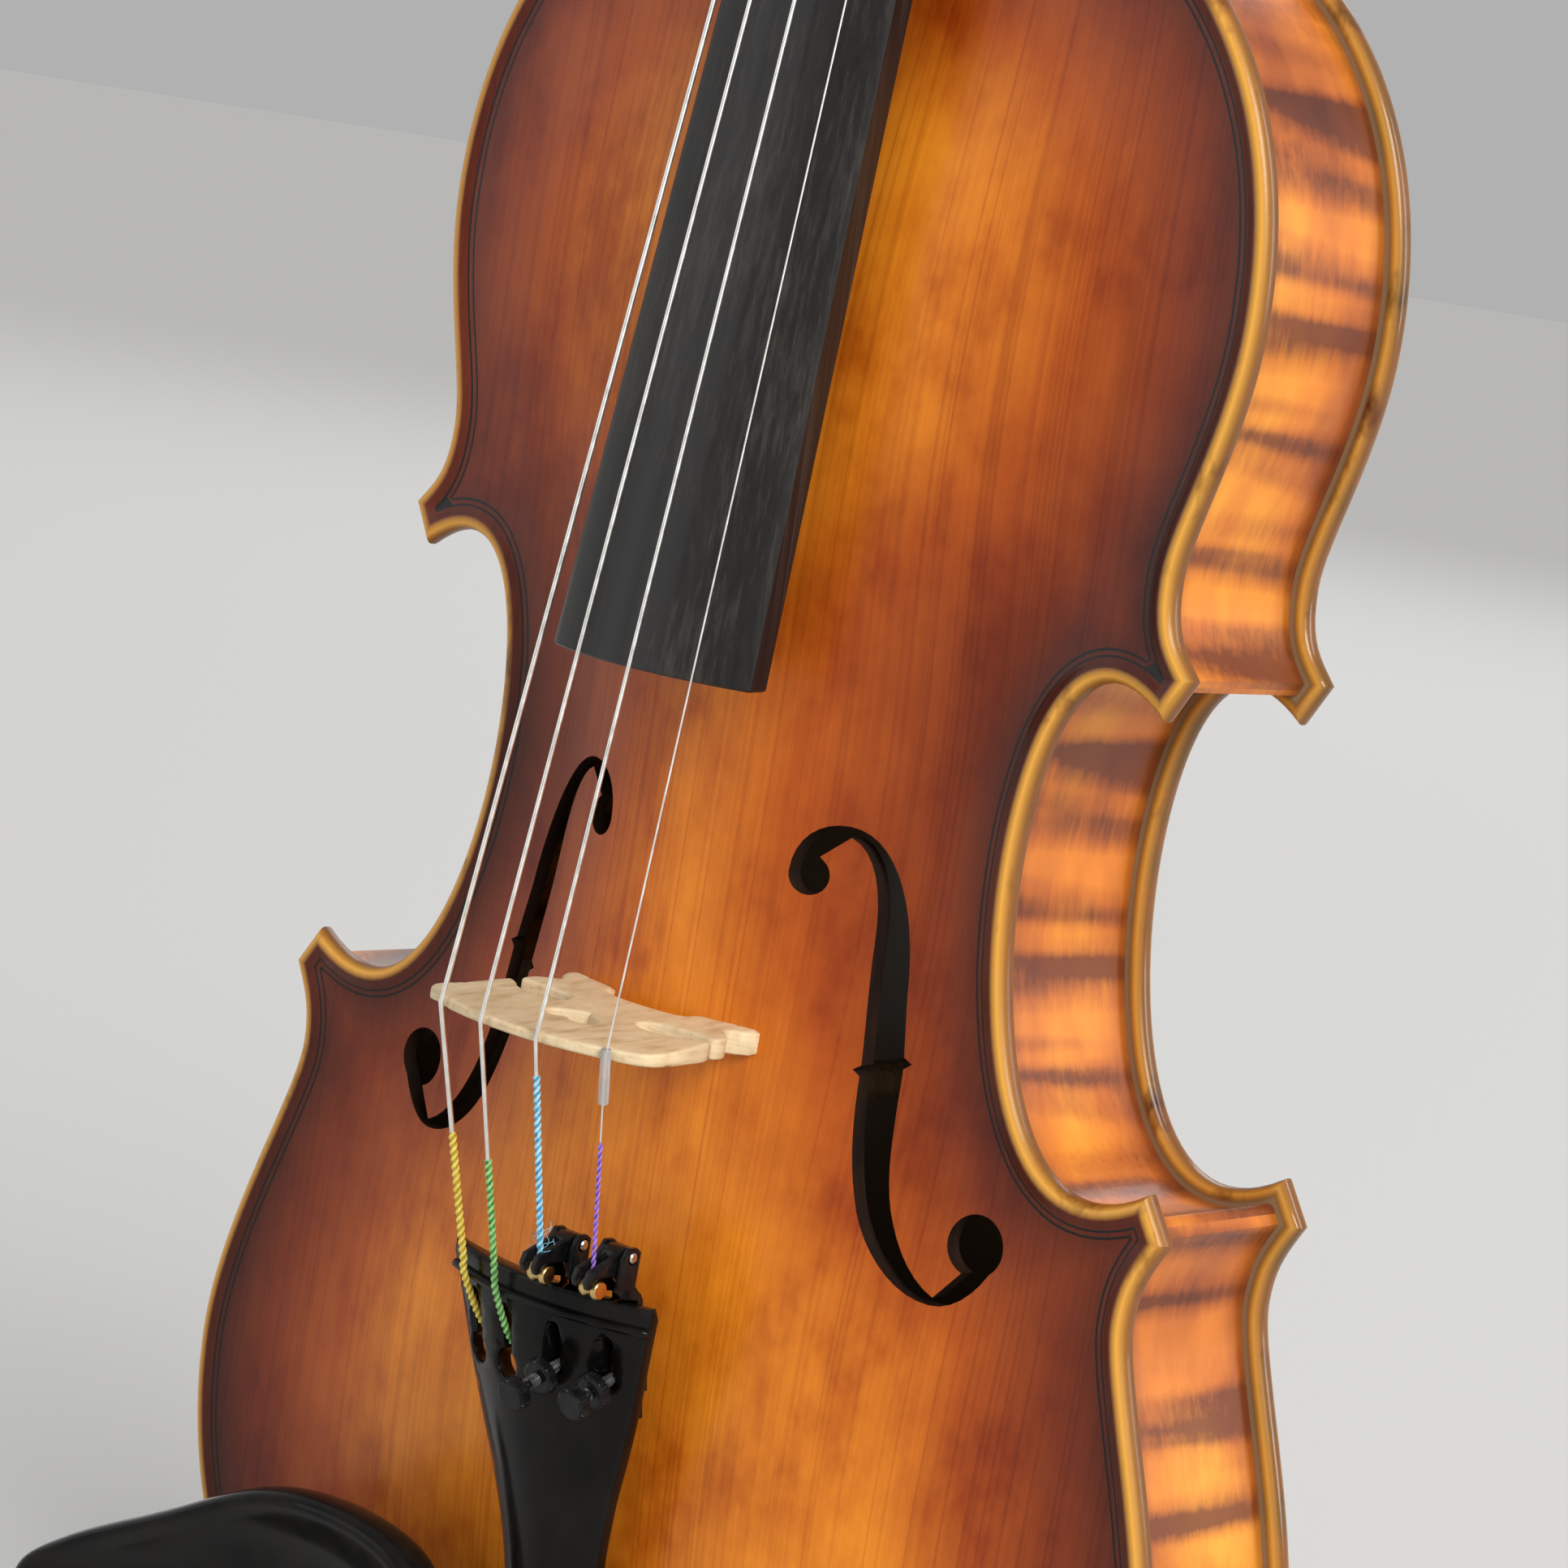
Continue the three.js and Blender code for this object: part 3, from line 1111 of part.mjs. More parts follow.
// Each adjuster hangs under the wide end of the tailpiece: a bracket with two cheeks, a
// lever on a pin whose two fingers hold the string's ball, a thumb screw that pushes the
// lever's long arm, and a knurled nut that clamps the bracket to the tailpiece.
function adjuster(name, x) {
  const group = new THREE.Group();
  group.position.set(x, 0, BALL_Z);
  group.rotation.y = slotLean(x);
  model.add(group);
  const at = (z) => z - BALL_Z;
  const along = (t) => screwPoint(x, t);
  const foot = along(0);
  const { ball, pin, out } = TUNERS[name];
  const [pinY, pinZ] = [pin[0], at(pin[1])];
  const under = (z) => {
    const centre = x + slotLean(x) * (z - BALL_Z);
    return tailUnder(centre + 3.1, Math.min(z, TAIL_TOP_Z)) + GAP;
  };
  const bore = (r) => solid(rod([-9, pinY, pinZ], [9, pinY, pinZ], r, 12));

  // Bracket: a plate with two rails under the tailpiece, and two cheeks past its end.
  const profile = shapeOf([
    [under(111), at(111)], [under(130.4), at(131)], [pinY - 0.6, at(131.4)], [pinY - 2.3, at(132.6)],
    [pinY - 2.5, pinZ - 0.2], [pinY - 1.2, pinZ + 1.7], [pinY + 0.5, pinZ + 1.7], [pinY + 1.6, pinZ + 1],
    [pinY + 1.7, at(133.4)], [under(130.4) + 1.1, at(131.2)], [under(111) + 1.1, at(111)],
  ]);
  let bracket = solid(slabYZ(profile, -2.8, 2.8));
  bracket = bracket.subtract(solid(block(-2.1, 2.1, -80, 0, at(122.5), 40)));
  bracket = bracket.subtract(solid(rod(along(-12), along(12), 1.5, 12))).subtract(bore(1.15));
  place(`tuner_bracket_${name}`, toGeometry(bracket), BLACK_METAL, group);
  place(`tuner_pin_${name}`, rod([-3.1, pinY, pinZ], [3.1, pinY, pinZ], 0.85, 12), STEEL, group);

  // Lever: a long arm between the rails, and two fingers that reach over the ball.
  const fingers = shapeOf([
    [pinY + 1.2, at(133.6)], [pinY - 1.4, at(134.4)], [ball + 1.9, at(134.95)], [ball - 0.6, at(134.95)],
    [ball - 1.8, at(134.5)], [ball - 2.1, at(133.3)], [ball - 3, at(133.1)], [ball - 3.6, at(134.3)],
    [ball - 3.1, at(136)], [ball + 1.4, at(137.8)], [pinY - 2.6, pinZ + 0.9], [pinY - 1, pinZ + 1.5],
    [pinY + 0.7, pinZ + 1.4], [pinY + 1.7, pinZ + 0.6], [pinY + 1.8, at(133.6)],
    [under(130.4) + 2, at(131.4)], [under(124) + 2.1, at(124.6)], [under(122) + 3.6, at(122)],
    [under(115) + 3.6, at(115)], [under(115) + 2.3, at(115)], [under(122) + 2.3, at(122)],
    [under(123.4) + 0.9, at(124)], [under(130.4) + 0.8, at(130.6)], [under(130.4) + 0.2, at(131.8)],
  ]);
  let lever = solid(slabYZ(fingers, -1.7, 1.7));
  lever = lever.subtract(solid(block(-0.75, 0.75, -80, pinY - 2.8, 0, 12))).subtract(bore(1.15));
  place(`tuner_lever_${name}`, toGeometry(lever), BLACK_METAL, group);

  // The ball end of the string: a small reel that lies across both fingers.
  const reel = turned([
    [0.5, -1.75], [1.45, -1.75], [1.6, -0.9], [1.15, -0.5], [1.15, 0.5], [1.6, 0.9], [1.45, 1.75],
    [0.5, 1.75], [0.5, -1.75],
  ], [0, ball, 0], [1, 0, 0], 12);
  place(`ball_end_${name}`, reel, BRASS, group);

  // Thumb screw: a threaded shank, its knurled head, and the knurled nut it runs in.
  const tip = (under(TUNER_Z) + 1.5 - foot[1]) / Math.cos(TUNER_TILT);
  place(`tuner_screw_${name}`, rod(along(-tip), along(out - GAP), 1.1, 10), STEEL, group);
  const nut = turned([
    [1.4, 1.5], [2.7, 1.5], [3.05, 1.9], [3.05, 3.2], [2.7, 3.6], [1.4, 3.6], [1.4, 1.5],
  ], foot, SCREW_DIR, 14);
  place(`tuner_nut_${name}`, nut, BLACK_METAL, group);
  const head = turned([
    [0, out], [2.5, out], [2.85, out + 0.4], [2.85, out + 1.9], [2.5, out + 2.3], [0, out + 2.3],
  ], foot, SCREW_DIR, 14);
  place(`tuner_head_${name}`, head, BLACK_METAL, group);
}

adjuster('a', TAIL_STRING_X[2]);
adjuster('e', TAIL_STRING_X[3]);

// ---------------------------------------------------------------- chinrest

// Outline of the cup, (x, z), to the bass side of the tailpiece.
const CUP = [
  [-14.5, 60], [-17.5, 71], [-25, 77.3], [-40, 79.5], [-58, 76.8], [-80, 65.8], [-101, 55], [-112, 46],
  [-110, 34], [-94, 24], [-66, 17], [-40, 15], [-23, 18], [-16, 32], [-14.2, 46],
];
const CUP_CENTRE = [-58, 48];
const CUP_RIM_Y = -49;

function chinCup() {
  const curve = new THREE.CatmullRomCurve3(CUP.map(([x, z]) => new THREE.Vector3(x, 0, z)), true, 'centripetal');
  const base = curve.getPoints(32).slice(0, -1);
  const sections = [
    [0.9, 8.4], [0.97, 7.4], [1, 4.8], [0.985, 1.4], [0.95, 0], [0.9, 0.5], [0.74, 4.4], [0.5, 7.6], [0.2, 9],
  ];
  const tilt = (x) => 0.03 * (x - CUP_CENTRE[0]);
  const rings = sections.map(([scale, drop]) => base.map((p) => {
    const x = mix(CUP_CENTRE[0], p.x, scale);
    const z = mix(CUP_CENTRE[1], p.z, scale);
    return [x, CUP_RIM_Y + drop + tilt(x), z];
  }));
  const floor = base.map((p) => {
    const x = mix(CUP_CENTRE[0], p.x, 0.6);
    const z = mix(CUP_CENTRE[1], p.z, 0.6);
    return [x, CUP_RIM_Y + 13.4 + tilt(x), z];
  });
  return loft([floor, ...rings]);
}

const CLAMP = { x: -44, z: 15.6, turn: 0.23 };
const LEG_Z = -4.6;
const LEG_X = 11;
const clamp = new THREE.Group();
clamp.position.set(CLAMP.x, 0, CLAMP.z);
clamp.rotation.y = CLAMP.turn;
model.add(clamp);

const foot = block(-15, 15, -40, -22.4, 1.2, 9);
const shelf = block(-15, 15, -40, -31.6, -8, 9);
const footParts = [foot, shelf].map((part) => {
  part.rotateY(CLAMP.turn);
  part.translate(CLAMP.x, 0, CLAMP.z);
  return part;
});
place('chinrest_cup', toGeometry(join(chinCup(), ...footParts)), BLACK_VARNISH);

place('chinrest_pad', block(-15, 15, -22.1, -20.9, 1.2, 9), CORK, clamp);
place('clamp_pad', block(-13, 13, 20.9, 22.1, 1.2, 9), CORK, clamp);

const upperPlate = block(-15, 15, -31.2, -29.6, -8, 0.8);
const legs = (y0, y1) => [-LEG_X, LEG_X].map((x) => rod([x, y0, LEG_Z], [x, y1, LEG_Z], 1.5, 12));
place('clamp_upper', toGeometry(join(upperPlate, ...legs(-30, -1.2))), STEEL, clamp);
const lowerPlate = block(-15, 15, 22.5, 24.1, -7, 9.6);
place('clamp_lower', toGeometry(join(lowerPlate, ...legs(1.2, 23))), STEEL, clamp);
for (const [side, x] of [['left', -LEG_X], ['right', LEG_X]]) {
  const barrel = turned([
    [1.9, -11], [2.9, -11], [3.3, -10.4], [3.3, 10.4], [2.9, 11], [1.9, 11], [1.9, -11],
  ], [x, 0, LEG_Z], [0, 1, 0], 12);
  place(`clamp_barrel_${side}`, barrel, STEEL, clamp);
}

export default model;
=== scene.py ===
"""Looks of a full-size violin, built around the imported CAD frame.

Shapes are worked out in millimetres and stored in metres, in the frame of the CAD
model: +Z runs up the neck, the top plate faces -Y, the treble side is +X.
"""
import math

import bmesh
import bpy
import numpy as np
from mathutils import Matrix, Vector
from mathutils.geometry import delaunay_2d_cdt


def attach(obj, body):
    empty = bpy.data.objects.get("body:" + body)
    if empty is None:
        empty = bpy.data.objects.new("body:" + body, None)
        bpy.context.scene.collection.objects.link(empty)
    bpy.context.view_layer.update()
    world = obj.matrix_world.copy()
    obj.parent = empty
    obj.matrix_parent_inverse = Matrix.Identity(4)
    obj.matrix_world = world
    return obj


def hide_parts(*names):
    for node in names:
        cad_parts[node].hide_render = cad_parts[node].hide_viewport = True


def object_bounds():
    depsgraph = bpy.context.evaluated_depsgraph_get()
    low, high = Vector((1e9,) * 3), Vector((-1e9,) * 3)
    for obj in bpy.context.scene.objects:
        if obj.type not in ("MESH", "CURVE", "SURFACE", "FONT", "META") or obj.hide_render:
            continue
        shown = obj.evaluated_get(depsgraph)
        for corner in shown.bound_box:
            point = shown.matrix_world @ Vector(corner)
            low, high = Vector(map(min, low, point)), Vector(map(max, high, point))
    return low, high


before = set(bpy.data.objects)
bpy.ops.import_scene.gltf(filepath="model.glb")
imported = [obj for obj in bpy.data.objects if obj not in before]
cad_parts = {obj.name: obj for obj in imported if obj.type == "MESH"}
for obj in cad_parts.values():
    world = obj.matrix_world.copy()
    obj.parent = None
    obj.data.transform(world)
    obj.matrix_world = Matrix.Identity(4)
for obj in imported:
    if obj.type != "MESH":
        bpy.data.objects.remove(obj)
cad_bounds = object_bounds()

# ------------------------------------------------------------------ dimensions (mm)

MM = 0.001                 # metres in a millimetre
BODY_TOP = 366.0
RIM = 16.3                 # |y| of the plates' glue faces
RIB_OVERHANG = 3.0
RIB_THICK = 1.2
PLATE_THICK = 3.0
CHANNEL = 3.4
TOP_ARCH = 12.1
BACK_ARCH = 11.0
ARCH_CENTRE = 190.0
BRIDGE_X = -1.3
BRIDGE_BACK_Z = 169.6
BRIDGE_CROWN = 32.7
STRING_NAMES = ("g", "d", "a", "e")
STRING_RADIUS = {"g": 0.42, "d": 0.38, "a": 0.35, "e": 0.16}
STRING_AT_BRIDGE = {"g": (-18.65, -62.5), "d": (-7.1, -65.4), "a": (4.5, -65.1), "e": (16.05, -61.7)}
STRING_AT_NUT = {"g": -8.3, "d": -2.8, "a": 2.8, "e": 8.3}
STRING_KINK_Z = 170.4
BOARD_Z = 227.75
NUT_Z = 495.5
NUT_LENGTH = 5.5
NUT_STRING_Y = -18.4
NUT_CROWN_Y = -17.3
BOARD_RADIUS = 42.0
BOARD_HALF = (20.7, 12.0)
BOARD_APEX = (-52.8, -17.0)
BOARD_SIDE = 4.7
EYE = (7.0, 582.0)         # y, z of the scroll's eye
SCROLL_RADIUS = 21.0
PEGS = {                   # y, z, side of the head, x of the winding
    "g": (-1.0, 514.0, -1, -3.2),
    "d": (5.0, 541.0, -1, -1.6),
    "a": (8.0, 554.0, 1, 1.2),
    "e": (2.0, 527.5, 1, 3.4),
}
TAIL_TOP_Z = 130.5
TAIL_END_Z = 22.0
TAIL_TOP_Y = -48.3
TAIL_SLOPE = 0.2137
TAIL_THICK = 2.6
TAIL_ROWS = (              # z, half width, crown above the edges
    (22, 8.6, 2.6), (26, 10, 3), (45, 9.6, 3.2), (70, 9.6, 3.5), (82, 10.3, 3.8),
    (94, 12.6, 4.3), (102, 14.9, 4.8), (110, 17.1, 5.1), (123, 20, 5.3), (130.5, 21.7, 5.3),
)
TAIL_STRING_X = {"g": -14.5, "d": -5.5, "a": 5.4, "e": 14.7}
FRET_Z = 126.5
BALL_Z = 132.8
TUNER_Z = 116.6
TUNER_TILT = 0.385
TUNERS = {                 # y of the ball, y and z of the lever's pin, height of the head
    "a": (-56.6, -50.9, 137.6, 7.4),
    "e": (-54.7, -49.7, 138.0, 5.8),
}

# ------------------------------------------------------------------ camera, light, floor

CAMERA_AT = Vector((0.461985, -0.578230, 0.305571))
CAMERA_RIGHT = Vector((0.75305, 0.63884, 0.15746))
CAMERA_UP = Vector((-0.20437, -0.00036, 0.97889))
CAMERA_LENS = 104.76
FLOOR_REACH = 60.0         # metres from the middle to each side
FLOOR_GAP = 0.0005         # metres below the lowest point


def add_camera():
    data = bpy.data.cameras.new("camera")
    data.lens = CAMERA_LENS
    data.sensor_width = 36.0
    data.clip_start = 0.01
    camera = bpy.data.objects.new("camera", data)
    bpy.context.scene.collection.objects.link(camera)
    right = CAMERA_RIGHT.normalized()
    back = right.cross(CAMERA_UP).normalized()
    up = back.cross(right).normalized()
    turn = Matrix((right, up, back)).transposed()
    camera.matrix_world = Matrix.Translation(CAMERA_AT) @ turn.to_4x4()
    bpy.context.scene.camera = camera


def hang_lamp(name, data, place, aim):
    lamp = bpy.data.objects.new(name, data)
    lamp.location = place
    lamp.rotation_euler = (Vector(aim) - Vector(place)).to_track_quat("-Z", "Y").to_euler()
    bpy.context.scene.collection.objects.link(lamp)


def add_light(name, place, aim, size, power, tint=(1, 1, 1)):
    data = bpy.data.lights.new(name, "AREA")
    data.shape = "RECTANGLE"
    data.size, data.size_y = size
    data.energy = power
    data.color = tint
    hang_lamp(name, data, place, aim)


def add_sun(name, place, aim, strength):
    """A wide soft lamp far away, so that the floor is lit evenly."""
    data = bpy.data.lights.new(name, "SUN")
    data.energy = strength
    data.angle = math.radians(28)
    data.color = (1.0, 0.975, 0.94)
    hang_lamp(name, data, place, aim)


def add_studio():
    world = bpy.data.worlds.new("studio")
    world.use_nodes = True
    sky = world.node_tree.nodes["Background"]
    sky.inputs["Color"].default_value = (0.88, 0.88, 0.88, 1)
    sky.inputs["Strength"].default_value = 0.5
    bpy.context.scene.world = world
    middle = (0.0, 0.0, 0.22)
    add_sun("key", (1.5, -0.75, 1.3), middle, 2.0)
    add_light("window", (1.5, -0.5, 1.1), middle, (0.4, 1.1), 7, (1.0, 0.97, 0.93))
    add_light("strip", (1.7, 1.5, 1.1), middle, (0.5, 1.6), 22)
    add_light("fill", (-1.3, -1.5, 0.6), middle, (1.4, 1.4), 5, (0.95, 0.97, 1.0))
    add_light("rear", (-1.5, 3.0, 2.4), middle, (2.0, 2.0), 30)
    bpy.context.scene.view_settings.view_transform = "Standard"


def add_floor():
    mesh = bpy.data.meshes.new("floor")
    low = cad_bounds[0][2] - FLOOR_GAP
    corners = [(x * FLOOR_REACH, y * FLOOR_REACH, low) for x, y in ((-1, -1), (1, -1), (1, 1), (-1, 1))]
    mesh.from_pydata(corners, [], [(0, 1, 2, 3)])
    floor = bpy.data.objects.new("floor", mesh)
    bpy.context.scene.collection.objects.link(floor)
    mesh.materials.append(plain_stage())


# ------------------------------------------------------------------ node helpers

def new_material(name, roughness=0.4, metallic=0.0, coat=0.0, coat_rough=0.1, specular=0.5):
    material = bpy.data.materials.new(name)
    material.use_nodes = True
    tree = material.node_tree
    shader = tree.nodes["Principled BSDF"]
    shader.inputs["Roughness"].default_value = roughness
    shader.inputs["Metallic"].default_value = metallic
    shader.inputs["Coat Weight"].default_value = coat
    shader.inputs["Coat Roughness"].default_value = coat_rough
    shader.inputs["Specular IOR Level"].default_value = specular
    return material, tree, shader


def node(tree, kind, **values):
    made = tree.nodes.new(kind)
    for key, value in values.items():
        if hasattr(made, key):
            setattr(made, key, value)
        else:
            made.inputs[key.replace("_", " ")].default_value = value
    return made


def mapped(tree, scale, source="Object"):
    coords = node(tree, "ShaderNodeTexCoord")
    mapping = node(tree, "ShaderNodeMapping")
    mapping.inputs["Scale"].default_value = scale
    tree.links.new(coords.outputs[source], mapping.inputs["Vector"])
    return mapping.outputs["Vector"]


def attribute(tree, name):
    return node(tree, "ShaderNodeAttribute", attribute_name=name).outputs["Fac"]


def noise(tree, vector, scale=1.0, detail=2.0, rough=0.5, distortion=0.0):
    made = node(tree, "ShaderNodeTexNoise")
    made.inputs["Scale"].default_value = scale
    made.inputs["Detail"].default_value = detail
    made.inputs["Roughness"].default_value = rough
    made.inputs["Distortion"].default_value = distortion
    tree.links.new(vector, made.inputs["Vector"])
    return made.outputs["Fac"]


def math_node(tree, operation, a, b=None, c=None):
    made = node(tree, "ShaderNodeMath", operation=operation)
    for index, value in enumerate((a, b, c)):
        if value is None:
            continue
        if isinstance(value, (int, float)):
            made.inputs[index].default_value = value
        else:
            tree.links.new(value, made.inputs[index])
    return made.outputs[0]


def rescale(tree, value, low, high, to_low=0.0, to_high=1.0):
    made = node(tree, "ShaderNodeMapRange")
    made.inputs["From Min"].default_value = low
    made.inputs["From Max"].default_value = high
    made.inputs["To Min"].default_value = to_low
    made.inputs["To Max"].default_value = to_high
    tree.links.new(value, made.inputs["Value"])
    return made.outputs["Result"]


def ramp(tree, value, stops, constant=False):
    made = node(tree, "ShaderNodeValToRGB")
    made.color_ramp.interpolation = "CONSTANT" if constant else "LINEAR"
    elements = made.color_ramp.elements
    while len(elements) < len(stops):
        elements.new(0.5)
    for element, (position, colour) in zip(elements, stops):
        element.position = position
        element.color = (*colour, 1)
    tree.links.new(value, made.inputs["Fac"])
    return made.outputs["Color"]


def blend_colour(tree, share, a, b, mode="MIX"):
    made = node(tree, "ShaderNodeMix", data_type="RGBA", blend_type=mode)
    for socket, value in ((made.inputs[0], share), (made.inputs[6], a), (made.inputs[7], b)):
        if isinstance(value, (int, float)):
            socket.default_value = value
        elif isinstance(value, tuple):
            socket.default_value = (*value, 1)
        else:
            tree.links.new(value, socket)
    return made.outputs[2]


def wire(tree, shader, colour, relief=None, rough=None):
    """Joins a colour, a relief of (height, strength, distance) and a roughness to the shader."""
    tree.links.new(colour, shader.inputs["Base Color"])
    if rough is not None:
        tree.links.new(rough, shader.inputs["Roughness"])
    if relief is not None:
        bump(tree, shader, *relief)


def bump(tree, shader, height, strength, distance):
    made = node(tree, "ShaderNodeBump")
    made.inputs["Strength"].default_value = strength
    made.inputs["Distance"].default_value = distance
    tree.links.new(height, made.inputs["Height"])
    tree.links.new(made.outputs["Normal"], shader.inputs["Normal"])
    return made


# ------------------------------------------------------------------ mesh helpers

def finish_object(name, mesh, materials, body="violin_body", smooth_angle=35.0):
    mesh.validate()
    mesh.update()
    mesh.shade_smooth()
    mesh.set_sharp_from_angle(angle=math.radians(smooth_angle))
    piece = bpy.data.objects.new(name, mesh)
    bpy.context.scene.collection.objects.link(piece)
    for material in materials:
        mesh.materials.append(material)
    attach(piece, body)
    return piece


def raw_mesh(name, points, faces):
    mesh = bpy.data.meshes.new(name)
    mesh.from_pydata([tuple(float(v) * MM for v in p) for p in points], [], faces)
    return mesh


def turn_outwards(mesh, join=0.0):
    """Turns all normals outwards, after joining points that lie closer than join metres."""
    work = bmesh.new()
    work.from_mesh(mesh)
    if join:
        bmesh.ops.remove_doubles(work, verts=work.verts, dist=join)
    bmesh.ops.recalc_face_normals(work, faces=work.faces)
    work.to_mesh(mesh)
    work.free()


def mesh_from(name, points, faces):
    """A mesh from points in millimetres, its doubled points joined and its normals turned outwards."""
    mesh = raw_mesh(name, points, faces)
    turn_outwards(mesh, 1e-7)
    return mesh


def add_piece(name, parts, material, node_name=None, body="violin_body", smooth_angle=35.0):
    """A finished piece from (points, faces), with its finish and the CAD node it stands for."""
    piece = finish_object(name, mesh_from(name, *parts), [MATERIAL[material]], body, smooth_angle)
    if node_name:
        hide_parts(node_name)
    return piece


def loft_parts(rings):
    """Points and faces of a closed skin through rings that all have the same count."""
    count = len(rings[0])
    points = [p for ring in rings for p in ring]
    faces = []
    for i in range(len(rings) - 1):
        a, b = i * count, (i + 1) * count
        for j in range(count):
            n = (j + 1) % count
            faces.append((a + j, a + n, b + n, b + j))
    faces.append(tuple(range(count)))
    faces.append(tuple(reversed(range((len(rings) - 1) * count, len(rings) * count))))
    return points, faces


def merged(*parts):
    points, faces = [], []
    for some_points, some_faces in parts:
        start = len(points)
        points.extend(some_points)
        faces.extend(tuple(i + start for i in face) for face in some_faces)
    return points, faces


def circle(middle, radius, count):
    """Even places round a circle in a flat drawing."""
    turns = [2 * math.pi * i / count for i in range(count)]
    return [(middle[0] + radius * math.cos(a), middle[1] + radius * math.sin(a)) for a in turns]


def mirrored(half):
    """A turned profile that is the same on both sides of its middle."""
    return [(r, -along) for r, along in half] + [(r, along) for r, along in reversed(half)]


def axes_for(direction):
    """Two unit vectors across a direction."""
    d = Vector(direction).normalized()
    side = d.cross(Vector((0, 0, 1)) if abs(d.z) < 0.9 else Vector((1, 0, 0))).normalized()
    return side, d.cross(side).normalized(), d


def lathe_parts(profile, origin, direction, sides=48, ripple=None):
    """A turned solid; profile is (radius, distance along the axis)."""
    u, v, d = axes_for(direction)
    start = Vector(origin)
    rings = []
    for radius, along in profile:
        ring = []
        for j in range(sides):
            angle = 2 * math.pi * j / sides
            r = radius + (ripple(radius, j) if ripple else 0.0)
            ring.append(start + d * along + u * (r * math.cos(angle)) + v * (r * math.sin(angle)))
        rings.append([tuple(p) for p in ring])
    return loft_parts(rings)


def smooth_route(points, per_span=10):
    """Catmull-Rom points through a list of places."""
    p = [Vector(q) for q in points]
    p = [2 * p[0] - p[1], *p, 2 * p[-1] - p[-2]]
    route = []
    for i in range(1, len(p) - 2):
        for k in range(per_span):
            t = k / per_span
            a, b, c, d = p[i - 1], p[i], p[i + 1], p[i + 2]
            route.append(0.5 * ((2 * b) + (c - a) * t + (2 * a - 5 * b + 4 * c - d) * t * t
                                + (3 * b - a - 3 * c + d) * t ** 3))
    route.append(p[-2])
    return route


def dense_route(line, step):
    """The same route with a point at least every step."""
    result = [Vector(line[0])]
    for p in line[1:]:
        p = Vector(p)
        a = result[-1].copy()
        count = max(1, int(math.ceil((p - a).length / step)))
        result.extend(a.lerp(p, i / count) for i in range(1, count + 1))
    return result


def tube_parts(route, radius, sides=12, section=None):
    """A tube along a route; section(angle, distance) may vary its radius."""
    route = [Vector(q) for q in route]
    tangents = []
    for i in range(len(route)):
        a, b = route[max(i - 1, 0)], route[min(i + 1, len(route) - 1)]
        tangents.append((b - a).normalized())
    u = axes_for(tangents[0])[0]
    rings, travelled = [], 0.0
    for i, (place, tangent) in enumerate(zip(route, tangents)):
        if i:
            travelled += (place - route[i - 1]).length
            u = (u - tangent * u.dot(tangent)).normalized()
        v = tangent.cross(u)
        ring = []
        for j in range(sides):
            angle = 2 * math.pi * j / sides
            r = section(angle, travelled) if section else radius
            ring.append(tuple(place + u * (r * math.cos(angle)) + v * (r * math.sin(angle))))
        rings.append(ring)
    return loft_parts(rings)


def inside(points, loop):
    """Which of many (x, y) points lie inside a closed loop."""
    x, y = points[:, 0], points[:, 1]
    result = np.zeros(len(points), dtype=bool)
    for (x0, y0), (x1, y1) in zip(loop, np.roll(loop, -1, axis=0)):
        crosses = (y0 > y) != (y1 > y)
        if y1 != y0:
            result ^= crosses & (x < (x1 - x0) * (y - y0) / (y1 - y0) + x0)
    return result


def thinned(points, gap):
    """The same polyline without the points that follow another one too closely."""
    kept = [points[0]]
    for p in points[1:]:
        if math.dist(p, kept[-1]) > gap:
            kept.append(p)
    return kept


def distance_to(points, line, closed=True):
    """Distance of many (x, y) points from a polyline."""
    a = np.asarray(line, dtype=float)
    b = np.roll(a, -1, axis=0) if closed else a[1:]
    a = a if closed else a[:-1]
    best = np.full(len(points), 1e9)
    for p, q in zip(a, b):
        d = q - p
        long = max(float(d @ d), 1e-12)
        t = np.clip(((points - p) @ d) / long, 0, 1)
        gap = points - (p + t[:, None] * d)
        best = np.minimum(best, np.hypot(gap[:, 0], gap[:, 1]))
    return best


